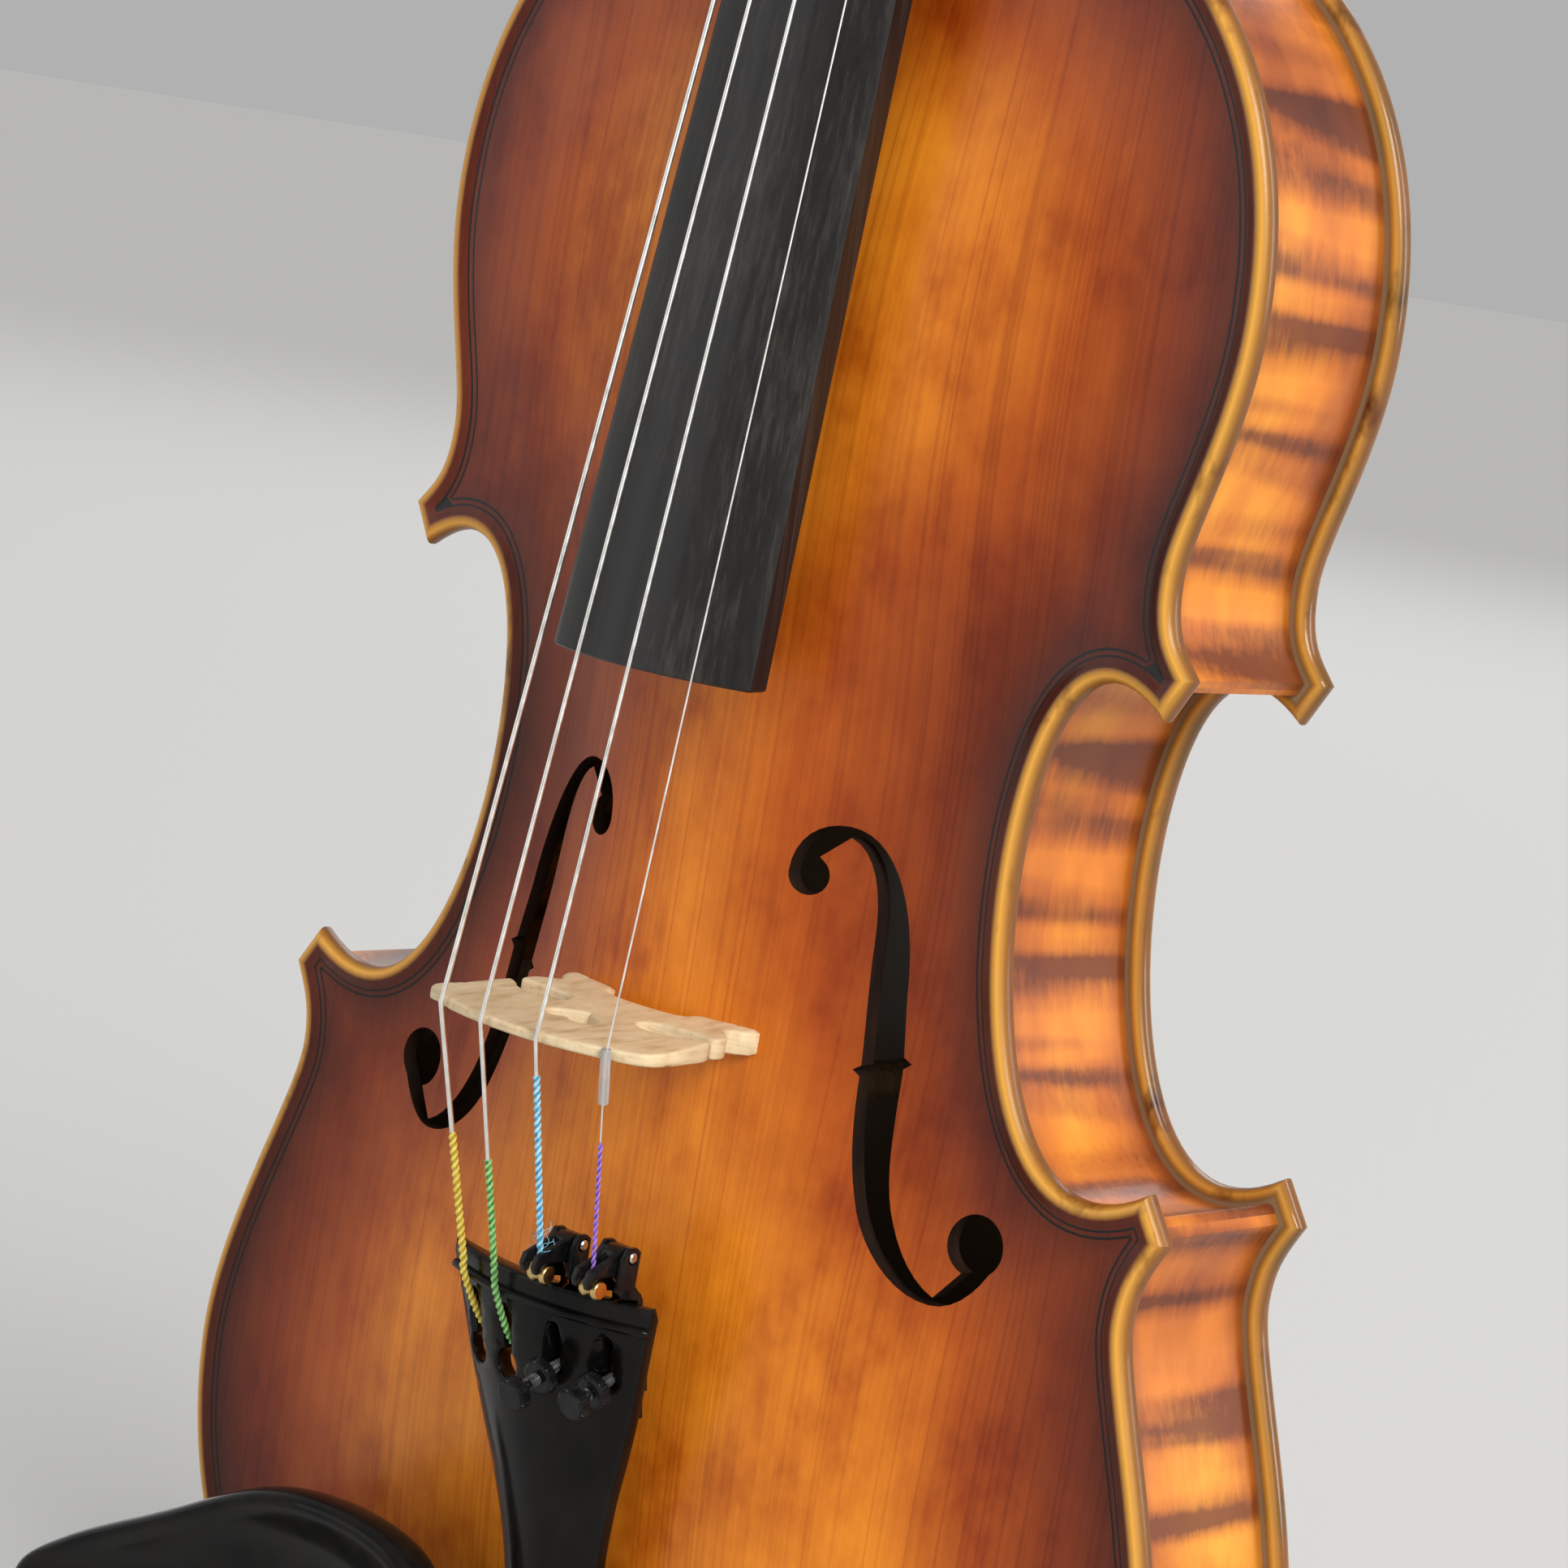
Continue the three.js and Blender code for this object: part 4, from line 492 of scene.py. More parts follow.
def region(outer, holes=(), guides=(), spacing=4.0, clear=1.0, extra=()):
    """Triangles that fill a flat outline: their points, and three point numbers for each."""
    outer = np.asarray(outer, dtype=float)
    holes = [np.asarray(h, dtype=float) for h in holes]
    guides = [np.asarray(g, dtype=float) for g in guides]
    low, high = outer.min(axis=0), outer.max(axis=0)
    rows = []
    for index, y in enumerate(np.arange(low[1], high[1], spacing * 0.87)):
        shift = spacing / 2 if index % 2 else 0
        rows.extend((x, y) for x in np.arange(low[0] + shift, high[0], spacing))
    grid = np.array(rows)
    keep = inside(grid, outer) & (distance_to(grid, outer) > clear)
    for loop in [*holes, *guides]:
        keep &= distance_to(grid, loop) > clear
    for loop in holes:
        keep &= ~inside(grid, loop)
    grid = grid[keep]
    points, edges = [], []
    for loop in [outer, *holes, *guides]:
        start = len(points)
        points.extend(map(tuple, loop))
        count = len(loop)
        edges.extend((start + i, start + (i + 1) % count) for i in range(count))
    points.extend(map(tuple, grid))
    points.extend(map(tuple, extra))
    flat = [Vector((float(x), float(y))) for x, y in points]
    found = delaunay_2d_cdt(flat, edges, [], 0, 1e-5)
    places = np.array([(v.x, v.y) for v in found[0]])
    triangles = np.array([f for f in found[2] if len(f) == 3])
    middle = places[triangles].mean(axis=1)
    keep = inside(middle, outer)
    for loop in holes:
        keep &= ~inside(middle, loop)
    a, b, c = (places[triangles[:, k]] for k in range(3))
    area = (b[:, 0] - a[:, 0]) * (c[:, 1] - a[:, 1]) - (b[:, 1] - a[:, 1]) * (c[:, 0] - a[:, 0])
    keep &= np.abs(area) > 1e-7
    triangles = triangles[keep]
    return places, triangles


def thick(places, triangles, upper, lower):
    """A closed solid between two heights over a flat region; walls are the last faces."""
    count = len(places)
    points = [*upper, *lower]
    faces = [tuple(map(int, t)) for t in triangles]
    faces += [tuple(int(i) + count for i in reversed(t)) for t in triangles]
    seen = {}
    for t in triangles:
        for k in range(3):
            edge = (int(t[k]), int(t[(k + 1) % 3]))
            seen[edge] = True
    walls = []
    for a, b in seen:
        if (b, a) not in seen:
            walls.append((b, a, a + count, b + count))
    return points, faces, walls


def set_attribute(mesh, name, values):
    layer = mesh.attributes.new(name, "FLOAT", "POINT")
    layer.data.foreach_set("value", np.asarray(values, dtype=np.float32))


def modify(piece, kind, **settings):
    """Adds a modifier and applies it at once."""
    made = piece.modifiers.new(kind.lower(), kind)
    for key, value in settings.items():
        setattr(made, key, value)
    graph = bpy.context.evaluated_depsgraph_get()
    fresh = bpy.data.meshes.new_from_object(piece.evaluated_get(graph))
    piece.modifiers.clear()
    old = piece.data
    piece.data = fresh
    fresh.name = old.name
    return piece


def soften(piece, width, segments=2, angle=40.0):
    """Rounds the hard edges by a width in millimetres."""
    modify(piece, "BEVEL", width=width * MM, segments=segments, limit_method="ANGLE",
           angle_limit=math.radians(angle), harden_normals=False)
    piece.data.shade_smooth()
    piece.data.set_sharp_from_angle(angle=math.radians(50))
    return piece


# ------------------------------------------------------------------ body outline

LOWER_BOUT = (
    ((0, 11), (72.4, 11), (103.9, 47.7), (103.9, 89)),
    ((103.9, 89), (103.9, 109.6), (89.6, 135.9), (89.6, 145)),
    ((89.6, 145), (89.6, 150.9), (91.1, 153.4), (94, 158.5)),
)
MIDDLE_BOUT = (
    ((89.5, 165.3), (65.3, 149.1), (55.2, 184.4), (55.2, 208)),
    ((55.2, 208), (55.2, 227.6), (61, 247.7), (77.8, 234.9)),
)
UPPER_BOUT = (
    ((81.7, 241.7), (78.6, 245.5), (75.7, 247.3), (75.7, 256)),
    ((75.7, 256), (75.7, 263.9), (82.9, 278.2), (82.9, 295)),
    ((82.9, 295), (82.9, 334.8), (55.6, 366), (0, 366)),
)
OUTLINE_STEPS = ((42, 22, 9), (30, 30), (10, 16, 46))


def bezier(curve, t):
    a, b, c, d = (np.array(p, dtype=float) for p in curve)
    u = 1 - t
    return u ** 3 * a + 3 * u * u * t * b + 3 * u * t * t * c + t ** 3 * d


def inset_run(curves, steps, distance):
    """A smooth run of the outline moved inwards."""
    points = []
    for index, (curve, count) in enumerate(zip(curves, steps)):
        for i in range(0 if index == 0 else 1, count + 1):
            t = i / count
            ahead, behind = bezier(curve, min(t + 0.003, 1)), bezier(curve, max(t - 0.003, 0))
            d = (ahead - behind) / np.linalg.norm(ahead - behind)
            points.append(bezier(curve, t) + distance * np.array((-d[1], d[0])))
    return points


def crossing(p, q, r, s):
    det = (q[0] - p[0]) * (s[1] - r[1]) - (q[1] - p[1]) * (s[0] - r[0])
    if abs(det) < 1e-9:
        return None
    t = ((r[0] - p[0]) * (s[1] - r[1]) - (r[1] - p[1]) * (s[0] - r[0])) / det
    u = ((r[0] - p[0]) * (q[1] - p[1]) - (r[1] - p[1]) * (q[0] - p[0])) / det
    if 0 <= t <= 1 and 0 <= u <= 1:
        return p + (q - p) * t
    return None


def trim_corner(before, after, corner, distance):
    """Two runs cut where they cross, or at the corner's own end line."""
    a, b = np.array(corner[0], dtype=float), np.array(corner[1], dtype=float)
    d = (b - a) / np.linalg.norm(b - a)
    inward = np.array((-d[1], d[0]))

    def depth(p):
        return float((p - a) @ inward) - distance

    def cut(run):
        kept = list(run)
        while len(kept) > 2 and depth(kept[-2]) < 0:
            kept.pop()
        p, q = kept[-2], kept[-1]
        if depth(q) < -1e-6:
            kept[-1] = p + (q - p) * depth(p) / (depth(p) - depth(q))
        return kept

    first = cut(before)
    second = cut(after[::-1])[::-1]
    for i in range(len(first) - 1, 0, -1):
        for j in range(len(second) - 1):
            hit = crossing(first[i - 1], first[i], second[j], second[j + 1])
            if hit is not None:
                return first[:i] + [hit], [hit] + second[j + 1:], True
    return first, second, False


LOWER_CORNER = (LOWER_BOUT[2][3], MIDDLE_BOUT[0][0])
UPPER_CORNER = (MIDDLE_BOUT[1][3], UPPER_BOUT[0][0])


def half_runs(distance):
    lower = inset_run(LOWER_BOUT, OUTLINE_STEPS[0], distance)
    middle = inset_run(MIDDLE_BOUT, OUTLINE_STEPS[1], distance)
    upper = inset_run(UPPER_BOUT, OUTLINE_STEPS[2], distance)
    lower, middle, low_met = trim_corner(lower, middle, LOWER_CORNER, distance)
    middle, upper, high_met = trim_corner(middle, upper, UPPER_CORNER, distance)
    return lower, middle, upper, low_met, high_met


def flip(points):
    return [np.array((-p[0], p[1])) for p in points]


def body_loop(distance):
    """The whole closed outline at a distance inside the edge."""
    lower, middle, upper, low_met, high_met = half_runs(distance)
    half = list(lower) + (middle[1:] if low_met else list(middle))
    half += upper[1:] if high_met else list(upper)
    half[0][0] = 0.0
    half[-1][0] = 0.0
    return np.array(half + flip(half[1:-1])[::-1])


# ------------------------------------------------------------------ arching

FIELD = np.array([         # z, half width of the arched field
    (19, 0), (21.5, 26), (33, 56), (56, 83), (90, 94), (122, 85), (146, 70), (172, 55), (200, 47.5),
    (226, 49), (250, 60), (270, 70), (295, 75), (318, 71), (338, 56), (352, 32), (358, 0),
], dtype=float)


def field_half(z):
    z = np.asarray(z, dtype=float)
    i = np.clip(np.searchsorted(FIELD[:, 0], z, side="right"), 1, len(FIELD) - 1)
    before, after = np.clip(i - 2, 0, None), np.clip(i + 1, None, len(FIELD) - 1)
    p, q = FIELD[i - 1], FIELD[i]
    slope_p = (q[:, 1] - FIELD[before][:, 1]) / (q[:, 0] - FIELD[before][:, 0])
    slope_q = (FIELD[after][:, 1] - p[:, 1]) / (FIELD[after][:, 0] - p[:, 0])
    span = q[:, 0] - p[:, 0]
    t = (z - p[:, 0]) / span
    value = ((2 * t ** 3 - 3 * t ** 2 + 1) * p[:, 1] + (t ** 3 - 2 * t ** 2 + t) * span * slope_p
             + (3 * t ** 2 - 2 * t ** 3) * q[:, 1] + (t ** 3 - t ** 2) * span * slope_q)
    outside = (z <= FIELD[0, 0]) | (z >= FIELD[-1, 0])
    return np.where(outside, 0.0, np.maximum(value, 0.0))


def arch(x, z):
    x, z = np.atleast_1d(np.asarray(x, float)), np.atleast_1d(np.asarray(z, float))
    half = field_half(z)
    across = np.clip(np.abs(x) / np.maximum(half, 1e-6), 0, 1)
    end = np.where(z < ARCH_CENTRE, FIELD[0, 0], FIELD[-1, 0])
    along = np.clip(np.abs(z - ARCH_CENTRE) / np.abs(end - ARCH_CENTRE), 0, 1)
    value = (1 + np.cos(np.pi * across ** 1.2)) / 2 * (1 + np.cos(np.pi * along ** 2.3)) / 2
    return np.where(half < 1e-6, 0.0, value)


def top_surface(x, z):
    return float(-(RIM + CHANNEL + TOP_ARCH * arch(x, z))[0])


EDGE_PROFILE = np.array([  # inset from the edge, height over the glue face
    (0, 2.4), (0.15, 3.0), (0.5, 3.6), (1.0, 4.0), (1.7, 4.2), (2.4, 4.1), (3.2, 3.8), (4.2, 3.5), (5.5, 3.4),
])
UNDER_PROFILE = np.array([(0, 1.3), (0.15, 0.8), (0.5, 0.3), (1.0, 0.05), (1.7, 0.0)])
PLATE_RINGS = (0.15, 0.5, 1.0, 1.7, 2.4, 3.2, 4.2, 5.5, 7.5, 10.0)


def plate_points(places, distance, side, arch_height):
    """Outer and inner heights of a plate over many (x, z) places."""
    x, z = places[:, 0], places[:, 1]
    rise = np.interp(distance, EDGE_PROFILE[:, 0], EDGE_PROFILE[:, 1]) + arch_height * arch(x, z)
    hollow = np.where(distance > 9, np.maximum(rise - PLATE_THICK, 0), 0)
    under = np.where(distance < 1.7, np.interp(distance, UNDER_PROFILE[:, 0], UNDER_PROFILE[:, 1]), hollow)
    upper = np.stack([x, side * (RIM + rise), z], axis=1)
    lower = np.stack([x, side * (RIM + under), z], axis=1)
    return upper, lower


# ------------------------------------------------------------------ materials

def varnish_colours(tree, base, edge_name="edge"):
    """Wood colour under a varnish that is worn bright in the middle and dark at the rim."""
    patches = noise(tree, mapped(tree, (62, 62, 38)), 1.0, 4.0, 0.62)
    clouds = noise(tree, mapped(tree, (9, 9, 6)), 1.0, 2.0, 0.5)
    edge = attribute(tree, edge_name)
    depth = math_node(tree, "ADD", edge, rescale(tree, clouds, 0.3, 0.7, -9, 9))
    shade = ramp(tree, rescale(tree, depth, 2, 50), (
        (0.0, (0.10, 0.016, 0.004)), (0.25, (0.25, 0.040, 0.006)),
        (0.6, (0.52, 0.108, 0.008)), (1.0, (0.90, 0.29, 0.018))))
    tinted = blend_colour(tree, 1.0, base, shade, "MULTIPLY")
    mottled = ramp(tree, rescale(tree, patches, 0.34, 0.64), (
        (0.0, (0.62, 0.42, 0.34)), (0.45, (0.84, 0.74, 0.66)), (1.0, (1.0, 1.0, 1.0))))
    return blend_colour(tree, 1.0, tinted, mottled, "MULTIPLY")


def purfled(tree, colour):
    """Adds the inlaid purfling, the dark groove beside it and the worn rim."""
    line = attribute(tree, "inlay")
    wobble = noise(tree, mapped(tree, (60, 60, 60)), 1.0, 2.0)
    line = math_node(tree, "ADD", line, rescale(tree, wobble, 0.3, 0.7, -0.06, 0.06))
    inlay = ramp(tree, rescale(tree, line, 3.0, 5.6), (
        (0.0, (0, 0, 0)), (0.33, (1, 1, 1)), (0.47, (0, 0, 0)),
        (0.72, (1, 1, 1)), (0.88, (0, 0, 0))), constant=True)
    ink = blend_colour(tree, inlay, colour, (0.008, 0.006, 0.005))
    groove = ramp(tree, rescale(tree, line, 1.2, 11), (
        (0.0, (1, 1, 1)), (0.16, (0.84, 0.80, 0.76)), (0.42, (0.80, 0.75, 0.70)), (1.0, (1, 1, 1))))
    shaded = blend_colour(tree, 1.0, ink, groove, "MULTIPLY")
    rim = attribute(tree, "rim")
    scuffs = noise(tree, mapped(tree, (80, 80, 45)), 1.0, 4.0, 0.65)
    wear = math_node(tree, "MULTIPLY", rim, rescale(tree, scuffs, 0.28, 0.44))
    return blend_colour(tree, wear, shaded, (0.86, 0.42, 0.065))


def spruce_base(tree):
    """Fine dark winter lines that run the length of the plate."""
    fine = noise(tree, mapped(tree, (1500, 60, 6)), 1.0, 2.0, 0.6)
    broad = noise(tree, mapped(tree, (620, 30, 3)), 1.0, 2.0, 0.6)
    lines = math_node(tree, "ADD", math_node(tree, "MULTIPLY", fine, 0.85),
                      math_node(tree, "MULTIPLY", broad, 0.3))
    return ramp(tree, rescale(tree, lines, 0.40, 0.72), (
        (0.0, (0.76, 0.66, 0.56)), (0.45, (0.92, 0.88, 0.82)), (1.0, (1.0, 0.98, 0.94)))), lines


def flame_base(tree, across, spread=1.0):
    """Broad waving dark flames of maple; across is the vector that runs along the bands' change."""
    wave = noise(tree, across, 1.0, 1.5, 0.45, 0.35)
    fleck = noise(tree, mapped(tree, (700, 700, 90)), 1.0, 3.0, 0.7)
    bands = math_node(tree, "ADD", wave, rescale(tree, fleck, 0.3, 0.7, -0.035, 0.035))
    return ramp(tree, rescale(tree, bands, 0.5 - 0.14 * spread, 0.5 + 0.14 * spread), (
        (0.0, (0.24, 0.15, 0.10)), (0.5, (0.72, 0.58, 0.44)), (1.0, (1.0, 0.94, 0.80)))), bands


def varnish_plate(tree, shader, base, inside_colour, relief, rough_range):
    """Varnish and purfling on the outer face, and the bare wood on the inner one."""
    colour = purfled(tree, varnish_colours(tree, base))
    colour = blend_colour(tree, attribute(tree, "bare"), colour, inside_colour)
    wear = noise(tree, mapped(tree, (55, 55, 30)), 1.0, 3.0)
    wire(tree, shader, colour, relief, rescale(tree, wear, 0.3, 0.7, *rough_range))


def make_top_varnish():
    material, tree, shader = new_material("varnished_top", 0.34, coat=0.12, coat_rough=0.14, specular=0.25)
    base, lines = spruce_base(tree)
    varnish_plate(tree, shader, base, (0.16, 0.085, 0.04), (lines, 0.12, 0.0002), (0.24, 0.44))
    return material


def make_back_varnish():
    material, tree, shader = new_material("varnished_back", 0.3, coat=0.25, coat_rough=0.1, specular=0.3)
    base, bands = flame_base(tree, mapped(tree, (8, 20, 105)))
    varnish_plate(tree, shader, base, (0.30, 0.19, 0.10), (bands, 0.06, 0.0003), (0.2, 0.38))
    return material


def make_rib_varnish():
    material, tree, shader = new_material("varnished_ribs", 0.34, coat=0.2, coat_rough=0.14, specular=0.3)
    run = attribute(tree, "run")
    height = attribute(tree, "height")
    vector = node(tree, "ShaderNodeCombineXYZ")
    lean = math_node(tree, "MULTIPLY_ADD", height, 0.05, run)
    tree.links.new(math_node(tree, "MULTIPLY", lean, 0.115), vector.inputs[0])
    tree.links.new(math_node(tree, "MULTIPLY", height, 0.012), vector.inputs[1])
    base, bands = flame_base(tree, vector.outputs[0], 0.85)
    patches = noise(tree, mapped(tree, (22, 40, 22)), 1.0, 3.0)
    tint = ramp(tree, patches, (
        (0.3, (0.34, 0.080, 0.012)), (0.5, (0.66, 0.20, 0.015)), (0.7, (0.88, 0.38, 0.028))))
    colour = blend_colour(tree, 1.0, base, tint, "MULTIPLY")
    # darker towards both plates, over the outer 5 mm of the rib's height at each side
    near = rescale(tree, math_node(tree, "ABSOLUTE", height), 11, 16.3)
    colour = blend_colour(tree, math_node(tree, "MULTIPLY", near, 0.62), colour, (0.16, 0.04, 0.015))
    wire(tree, shader, colour, (bands, 0.08, 0.0003))
    return material


def make_neck_maple():
    material, tree, shader = new_material("neck_maple", 0.36, coat=0.15, coat_rough=0.2, specular=0.35)
    base, bands = flame_base(tree, mapped(tree, (12, 16, 115)), 1.1)
    patches = noise(tree, mapped(tree, (40, 40, 22)), 1.0, 3.0)
    tint = ramp(tree, patches, (
        (0.3, (0.42, 0.15, 0.032)), (0.55, (0.66, 0.29, 0.065)), (0.8, (0.80, 0.42, 0.12))))
    colour = blend_colour(tree, 1.0, base, tint, "MULTIPLY")
    wire(tree, shader, colour, (bands, 0.05, 0.0003))
    return material


def make_ebony():
    material, tree, shader = new_material("ebony", 0.36, coat=0.05, coat_rough=0.25, specular=0.35)
    pores = noise(tree, mapped(tree, (900, 900, 22)), 1.0, 3.0, 0.7)
    cloud = noise(tree, mapped(tree, (60, 60, 14)), 1.0, 2.0)
    mixed = math_node(tree, "MULTIPLY_ADD", pores, 0.6, math_node(tree, "MULTIPLY", cloud, 0.4))
    colour = ramp(tree, mixed, (
        (0.3, (0.006, 0.005, 0.005)), (0.52, (0.014, 0.012, 0.011)), (0.72, (0.05, 0.042, 0.036))))
    wire(tree, shader, colour, (pores, 0.18, 0.0001), rescale(tree, mixed, 0.35, 0.65, 0.30, 0.46))
    return material


def make_black_gloss():
    material, tree, shader = new_material("black_polish", 0.18, coat=0.05, coat_rough=0.06, specular=0.14)
    smears = noise(tree, mapped(tree, (120, 120, 60)), 1.0, 4.0)
    colour = ramp(tree, smears, ((0.3, (0.002, 0.002, 0.002)), (0.7, (0.009, 0.008, 0.007))))
    wire(tree, shader, colour, rough=rescale(tree, smears, 0.3, 0.7, 0.12, 0.26))
    return material


def make_bridge_maple():
    material, tree, shader = new_material("bridge_maple", 0.5, coat=0.1, coat_rough=0.3)
    flecks = noise(tree, mapped(tree, (300, 120, 1400)), 1.0, 3.0, 0.65)
    rays = noise(tree, mapped(tree, (900, 160, 260)), 1.0, 2.0)
    mixed = math_node(tree, "MULTIPLY_ADD", flecks, 0.65, math_node(tree, "MULTIPLY", rays, 0.35))
    colour = ramp(tree, mixed, (
        (0.32, (0.56, 0.38, 0.19)), (0.47, (0.74, 0.57, 0.34)), (0.7, (0.85, 0.70, 0.46))))
    soil = noise(tree, mapped(tree, (70, 70, 70)), 1.0, 3.0)
    colour = blend_colour(tree, rescale(tree, soil, 0.5, 0.75, 0, 0.25), colour, (0.55, 0.38, 0.20))
    wire(tree, shader, colour, (flecks, 0.1, 0.0002))
    return material


def make_metal(name, light, dark, roughness, scale=400.0, metallic=1.0, specular=0.5):
    material, tree, shader = new_material(name, roughness, metallic, specular=specular)
    streaks = noise(tree, mapped(tree, (scale, scale, scale)), 1.0, 3.0)
    colour = ramp(tree, streaks, ((0.35, dark), (0.65, light)))
    wire(tree, shader, colour, rough=rescale(tree, streaks, 0.3, 0.7, roughness * 0.8, roughness * 1.3))
    return material


def make_speckled(name, light, dark, roughness, scale, relief=0.1, clear=0.0):
    material, tree, shader = new_material(name, roughness)
    shader.inputs["Transmission Weight"].default_value = clear
    grain = noise(tree, mapped(tree, scale), 1.0, 3.0, 0.6)
    wire(tree, shader, ramp(tree, grain, ((0.32, dark), (0.66, light))), (grain, relief, 0.0003))
    return material


def make_silk_thread(name, light, dark):
    """Wound thread in its dyed colour, with painted shade in the grooves and a painted highlight where a turn
    stands proud.
    """
    material, tree, shader = new_material(name, 0.5)
    grain = noise(tree, mapped(tree, (2200, 2200, 900)), 1.0, 3.0, 0.6)
    # painted shade and highlight: the relief's height darkens the grooves and lightens the proud turns round
    # the dye's middle colour
    height = math_node(tree, "MULTIPLY_ADD", attribute(tree, "twist"), 0.28, grain)
    middle = tuple((a + b) / 2 for a, b in zip(light, dark))
    colour = ramp(tree, height, ((0.2, dark), (0.5, middle), (0.8, light)))
    wire(tree, shader, colour, (grain, 0.4, 0.0003))
    return material


def plain_stage():
    material, _, shader = new_material("pale_floor", 0.9)
    shader.inputs["Base Color"].default_value = (0.60, 0.60, 0.595, 1)
    return material


MATERIAL = {
    "top": make_top_varnish(),
    "back": make_back_varnish(),
    "ribs": make_rib_varnish(),
    "neck": make_neck_maple(),
    "ebony": make_ebony(),
    "gloss": make_black_gloss(),
    "bridge": make_bridge_maple(),
    "wall": make_speckled("sound_hole_wall", (0.026, 0.011, 0.006), (0.010, 0.005, 0.004), 0.45,
                          (300, 300, 60)),
    "spruce": make_speckled("bare_spruce", (0.72, 0.50, 0.28), (0.48, 0.29, 0.14), 0.6, (900, 900, 14)),
    "willow": make_speckled("willow", (0.66, 0.48, 0.30), (0.50, 0.33, 0.19), 0.65, (500, 500, 30)),
    "string": make_metal("string_metal", (0.94, 0.93, 0.90), (0.84, 0.82, 0.78), 0.34),
    "steel": make_metal("steel", (0.62, 0.62, 0.63), (0.55, 0.55, 0.56), 0.26),
    "darksteel": make_metal("dark_steel", (0.16, 0.16, 0.165), (0.06, 0.06, 0.062), 0.3),
    "blackmetal": make_metal("black_metal", (0.016, 0.016, 0.017), (0.006, 0.006, 0.007), 0.2, metallic=0.35,
                             specular=0.3),
    "brass": make_metal("brass", (0.80, 0.58, 0.24), (0.55, 0.37, 0.14), 0.24),
    "cork": make_speckled("cork", (0.52, 0.34, 0.19), (0.22, 0.12, 0.06), 0.85, (420, 420, 420), 0.5),
    "gut": make_speckled("gut_cord", (0.055, 0.050, 0.045), (0.02, 0.018, 0.016), 0.5, (900, 900, 400)),
    "clear": make_speckled("clear_sleeve", (0.80, 0.79, 0.77), (0.68, 0.67, 0.65), 0.12,
                           (500, 500, 200), clear=0.65),
    # each silk's first colour is its painted highlight on the proud turns and its second its painted shade in
    # the grooves; the dye lies between them
    "silk_g": make_silk_thread("silk_yellow", (1.0, 0.84, 0.16), (0.48, 0.29, 0.01)),
    "silk_d": make_silk_thread("silk_green", (0.34, 0.74, 0.24), (0.02, 0.13, 0.02)),
    "silk_a": make_silk_thread("silk_blue", (0.42, 0.82, 1.0), (0.03, 0.20, 0.38)),
    "silk_e": make_silk_thread("silk_purple", (0.44, 0.24, 0.86), (0.09, 0.025, 0.24)),
}


# ------------------------------------------------------------------ plates

def sound_hole():
    """The treble f-hole as a closed loop, running down its outer side and back up."""
    loop = [(19, 199.5)]

    def curve(steps, *c):
        first = loop[-1]
        shape = (first, (c[0], c[1]), (c[2], c[3]), (c[4], c[5]))
        loop.extend(tuple(bezier(shape, i / steps)) for i in range(1, steps + 1))

    def ring(steps, cx, cz, r, a0, a1):
        for i in range(1, steps + 1):
            a = a0 + (a1 - a0) * i / steps
            loop.append((cx + r * math.cos(a), cz + r * math.sin(a)))

    curve(8, 19, 204.8, 22.6, 208.2, 27.2, 208.2)
    curve(14, 35, 208.2, 39.3, 196, 40.4, 184)
    loop.extend(((41.9, 174.7), (43.4, 173.9), (42.2, 172.9)))
    curve(10, 42.8, 164, 43.2, 155.5, 46.3, 149.4)
    curve(6, 48.4, 145, 51.4, 141.4, 55.2, 139.9)
    loop.append((58.9, 144.7))
    ring(26, 60.4, 149.4, 4.9, -1.9, -0.85 - 2 * math.pi)
    curve(6, 61.5, 141.6, 58.5, 138.7, 55, 138.6)
    curve(10, 48, 138.4, 41.6, 145, 39.4, 151.8)
    curve(8, 37.2, 157.6, 36.2, 164, 35.8, 170.3)
    loop.extend(((34.5, 171.1), (35.7, 172)))
    curve(8, 34.8, 180, 34, 186, 33.8, 191)
    curve(8, 33.4, 199, 31.6, 205.2, 27.6, 206.5)
    loop.append((23.4, 202.6))
    ring(16, 22.2, 199.5, 3.2, 1.2, -math.pi)
    loop = thinned(loop, 0.08)
    if math.dist(loop[0], loop[-1]) < 0.08:
        loop.pop()
    return np.array(loop)


def side_curves():
    """The outline's six plain sides, which the purfling follows without rounding its corners."""
    sides = []
    for curves, steps in zip((LOWER_BOUT, MIDDLE_BOUT, UPPER_BOUT), OUTLINE_STEPS):
        run = inset_run(curves, steps, 0)
        sides.extend((run, flip(run)))
    return sides


def hermite(table, z):
    """Smooth values of a table's columns at z; the first column holds the places."""
    table = np.asarray(table, dtype=float)
    z = float(np.clip(z, table[0, 0], table[-1, 0]))
    i = int(np.clip(np.searchsorted(table[:, 0], z, side="right"), 1, len(table) - 1))
    p, q = table[i - 1], table[i]
    before, after = table[max(i - 2, 0)], table[min(i + 1, len(table) - 1)]
    span = q[0] - p[0]
    slope = (q[1:] - p[1:]) / span
    back = (p[1:] - before[1:]) / (p[0] - before[0]) if i >= 2 else slope
    ahead = (after[1:] - q[1:]) / (after[0] - q[0]) if i + 1 < len(table) else slope
    m0 = np.where(back * slope > 0, 2 * back * slope / np.where(back + slope == 0, 1, back + slope), 0)
    m1 = np.where(ahead * slope > 0, 2 * ahead * slope / np.where(ahead + slope == 0, 1, ahead + slope), 0)
    t = (z - p[0]) / span
    return ((2 * t ** 3 - 3 * t ** 2 + 1) * p[1:] + (t ** 3 - 2 * t ** 2 + t) * span * m0
            + (3 * t ** 2 - 2 * t ** 3) * q[1:] + (t ** 3 - t ** 2) * span * m1)


def mix(a, b, t):
    return a + (b - a) * t


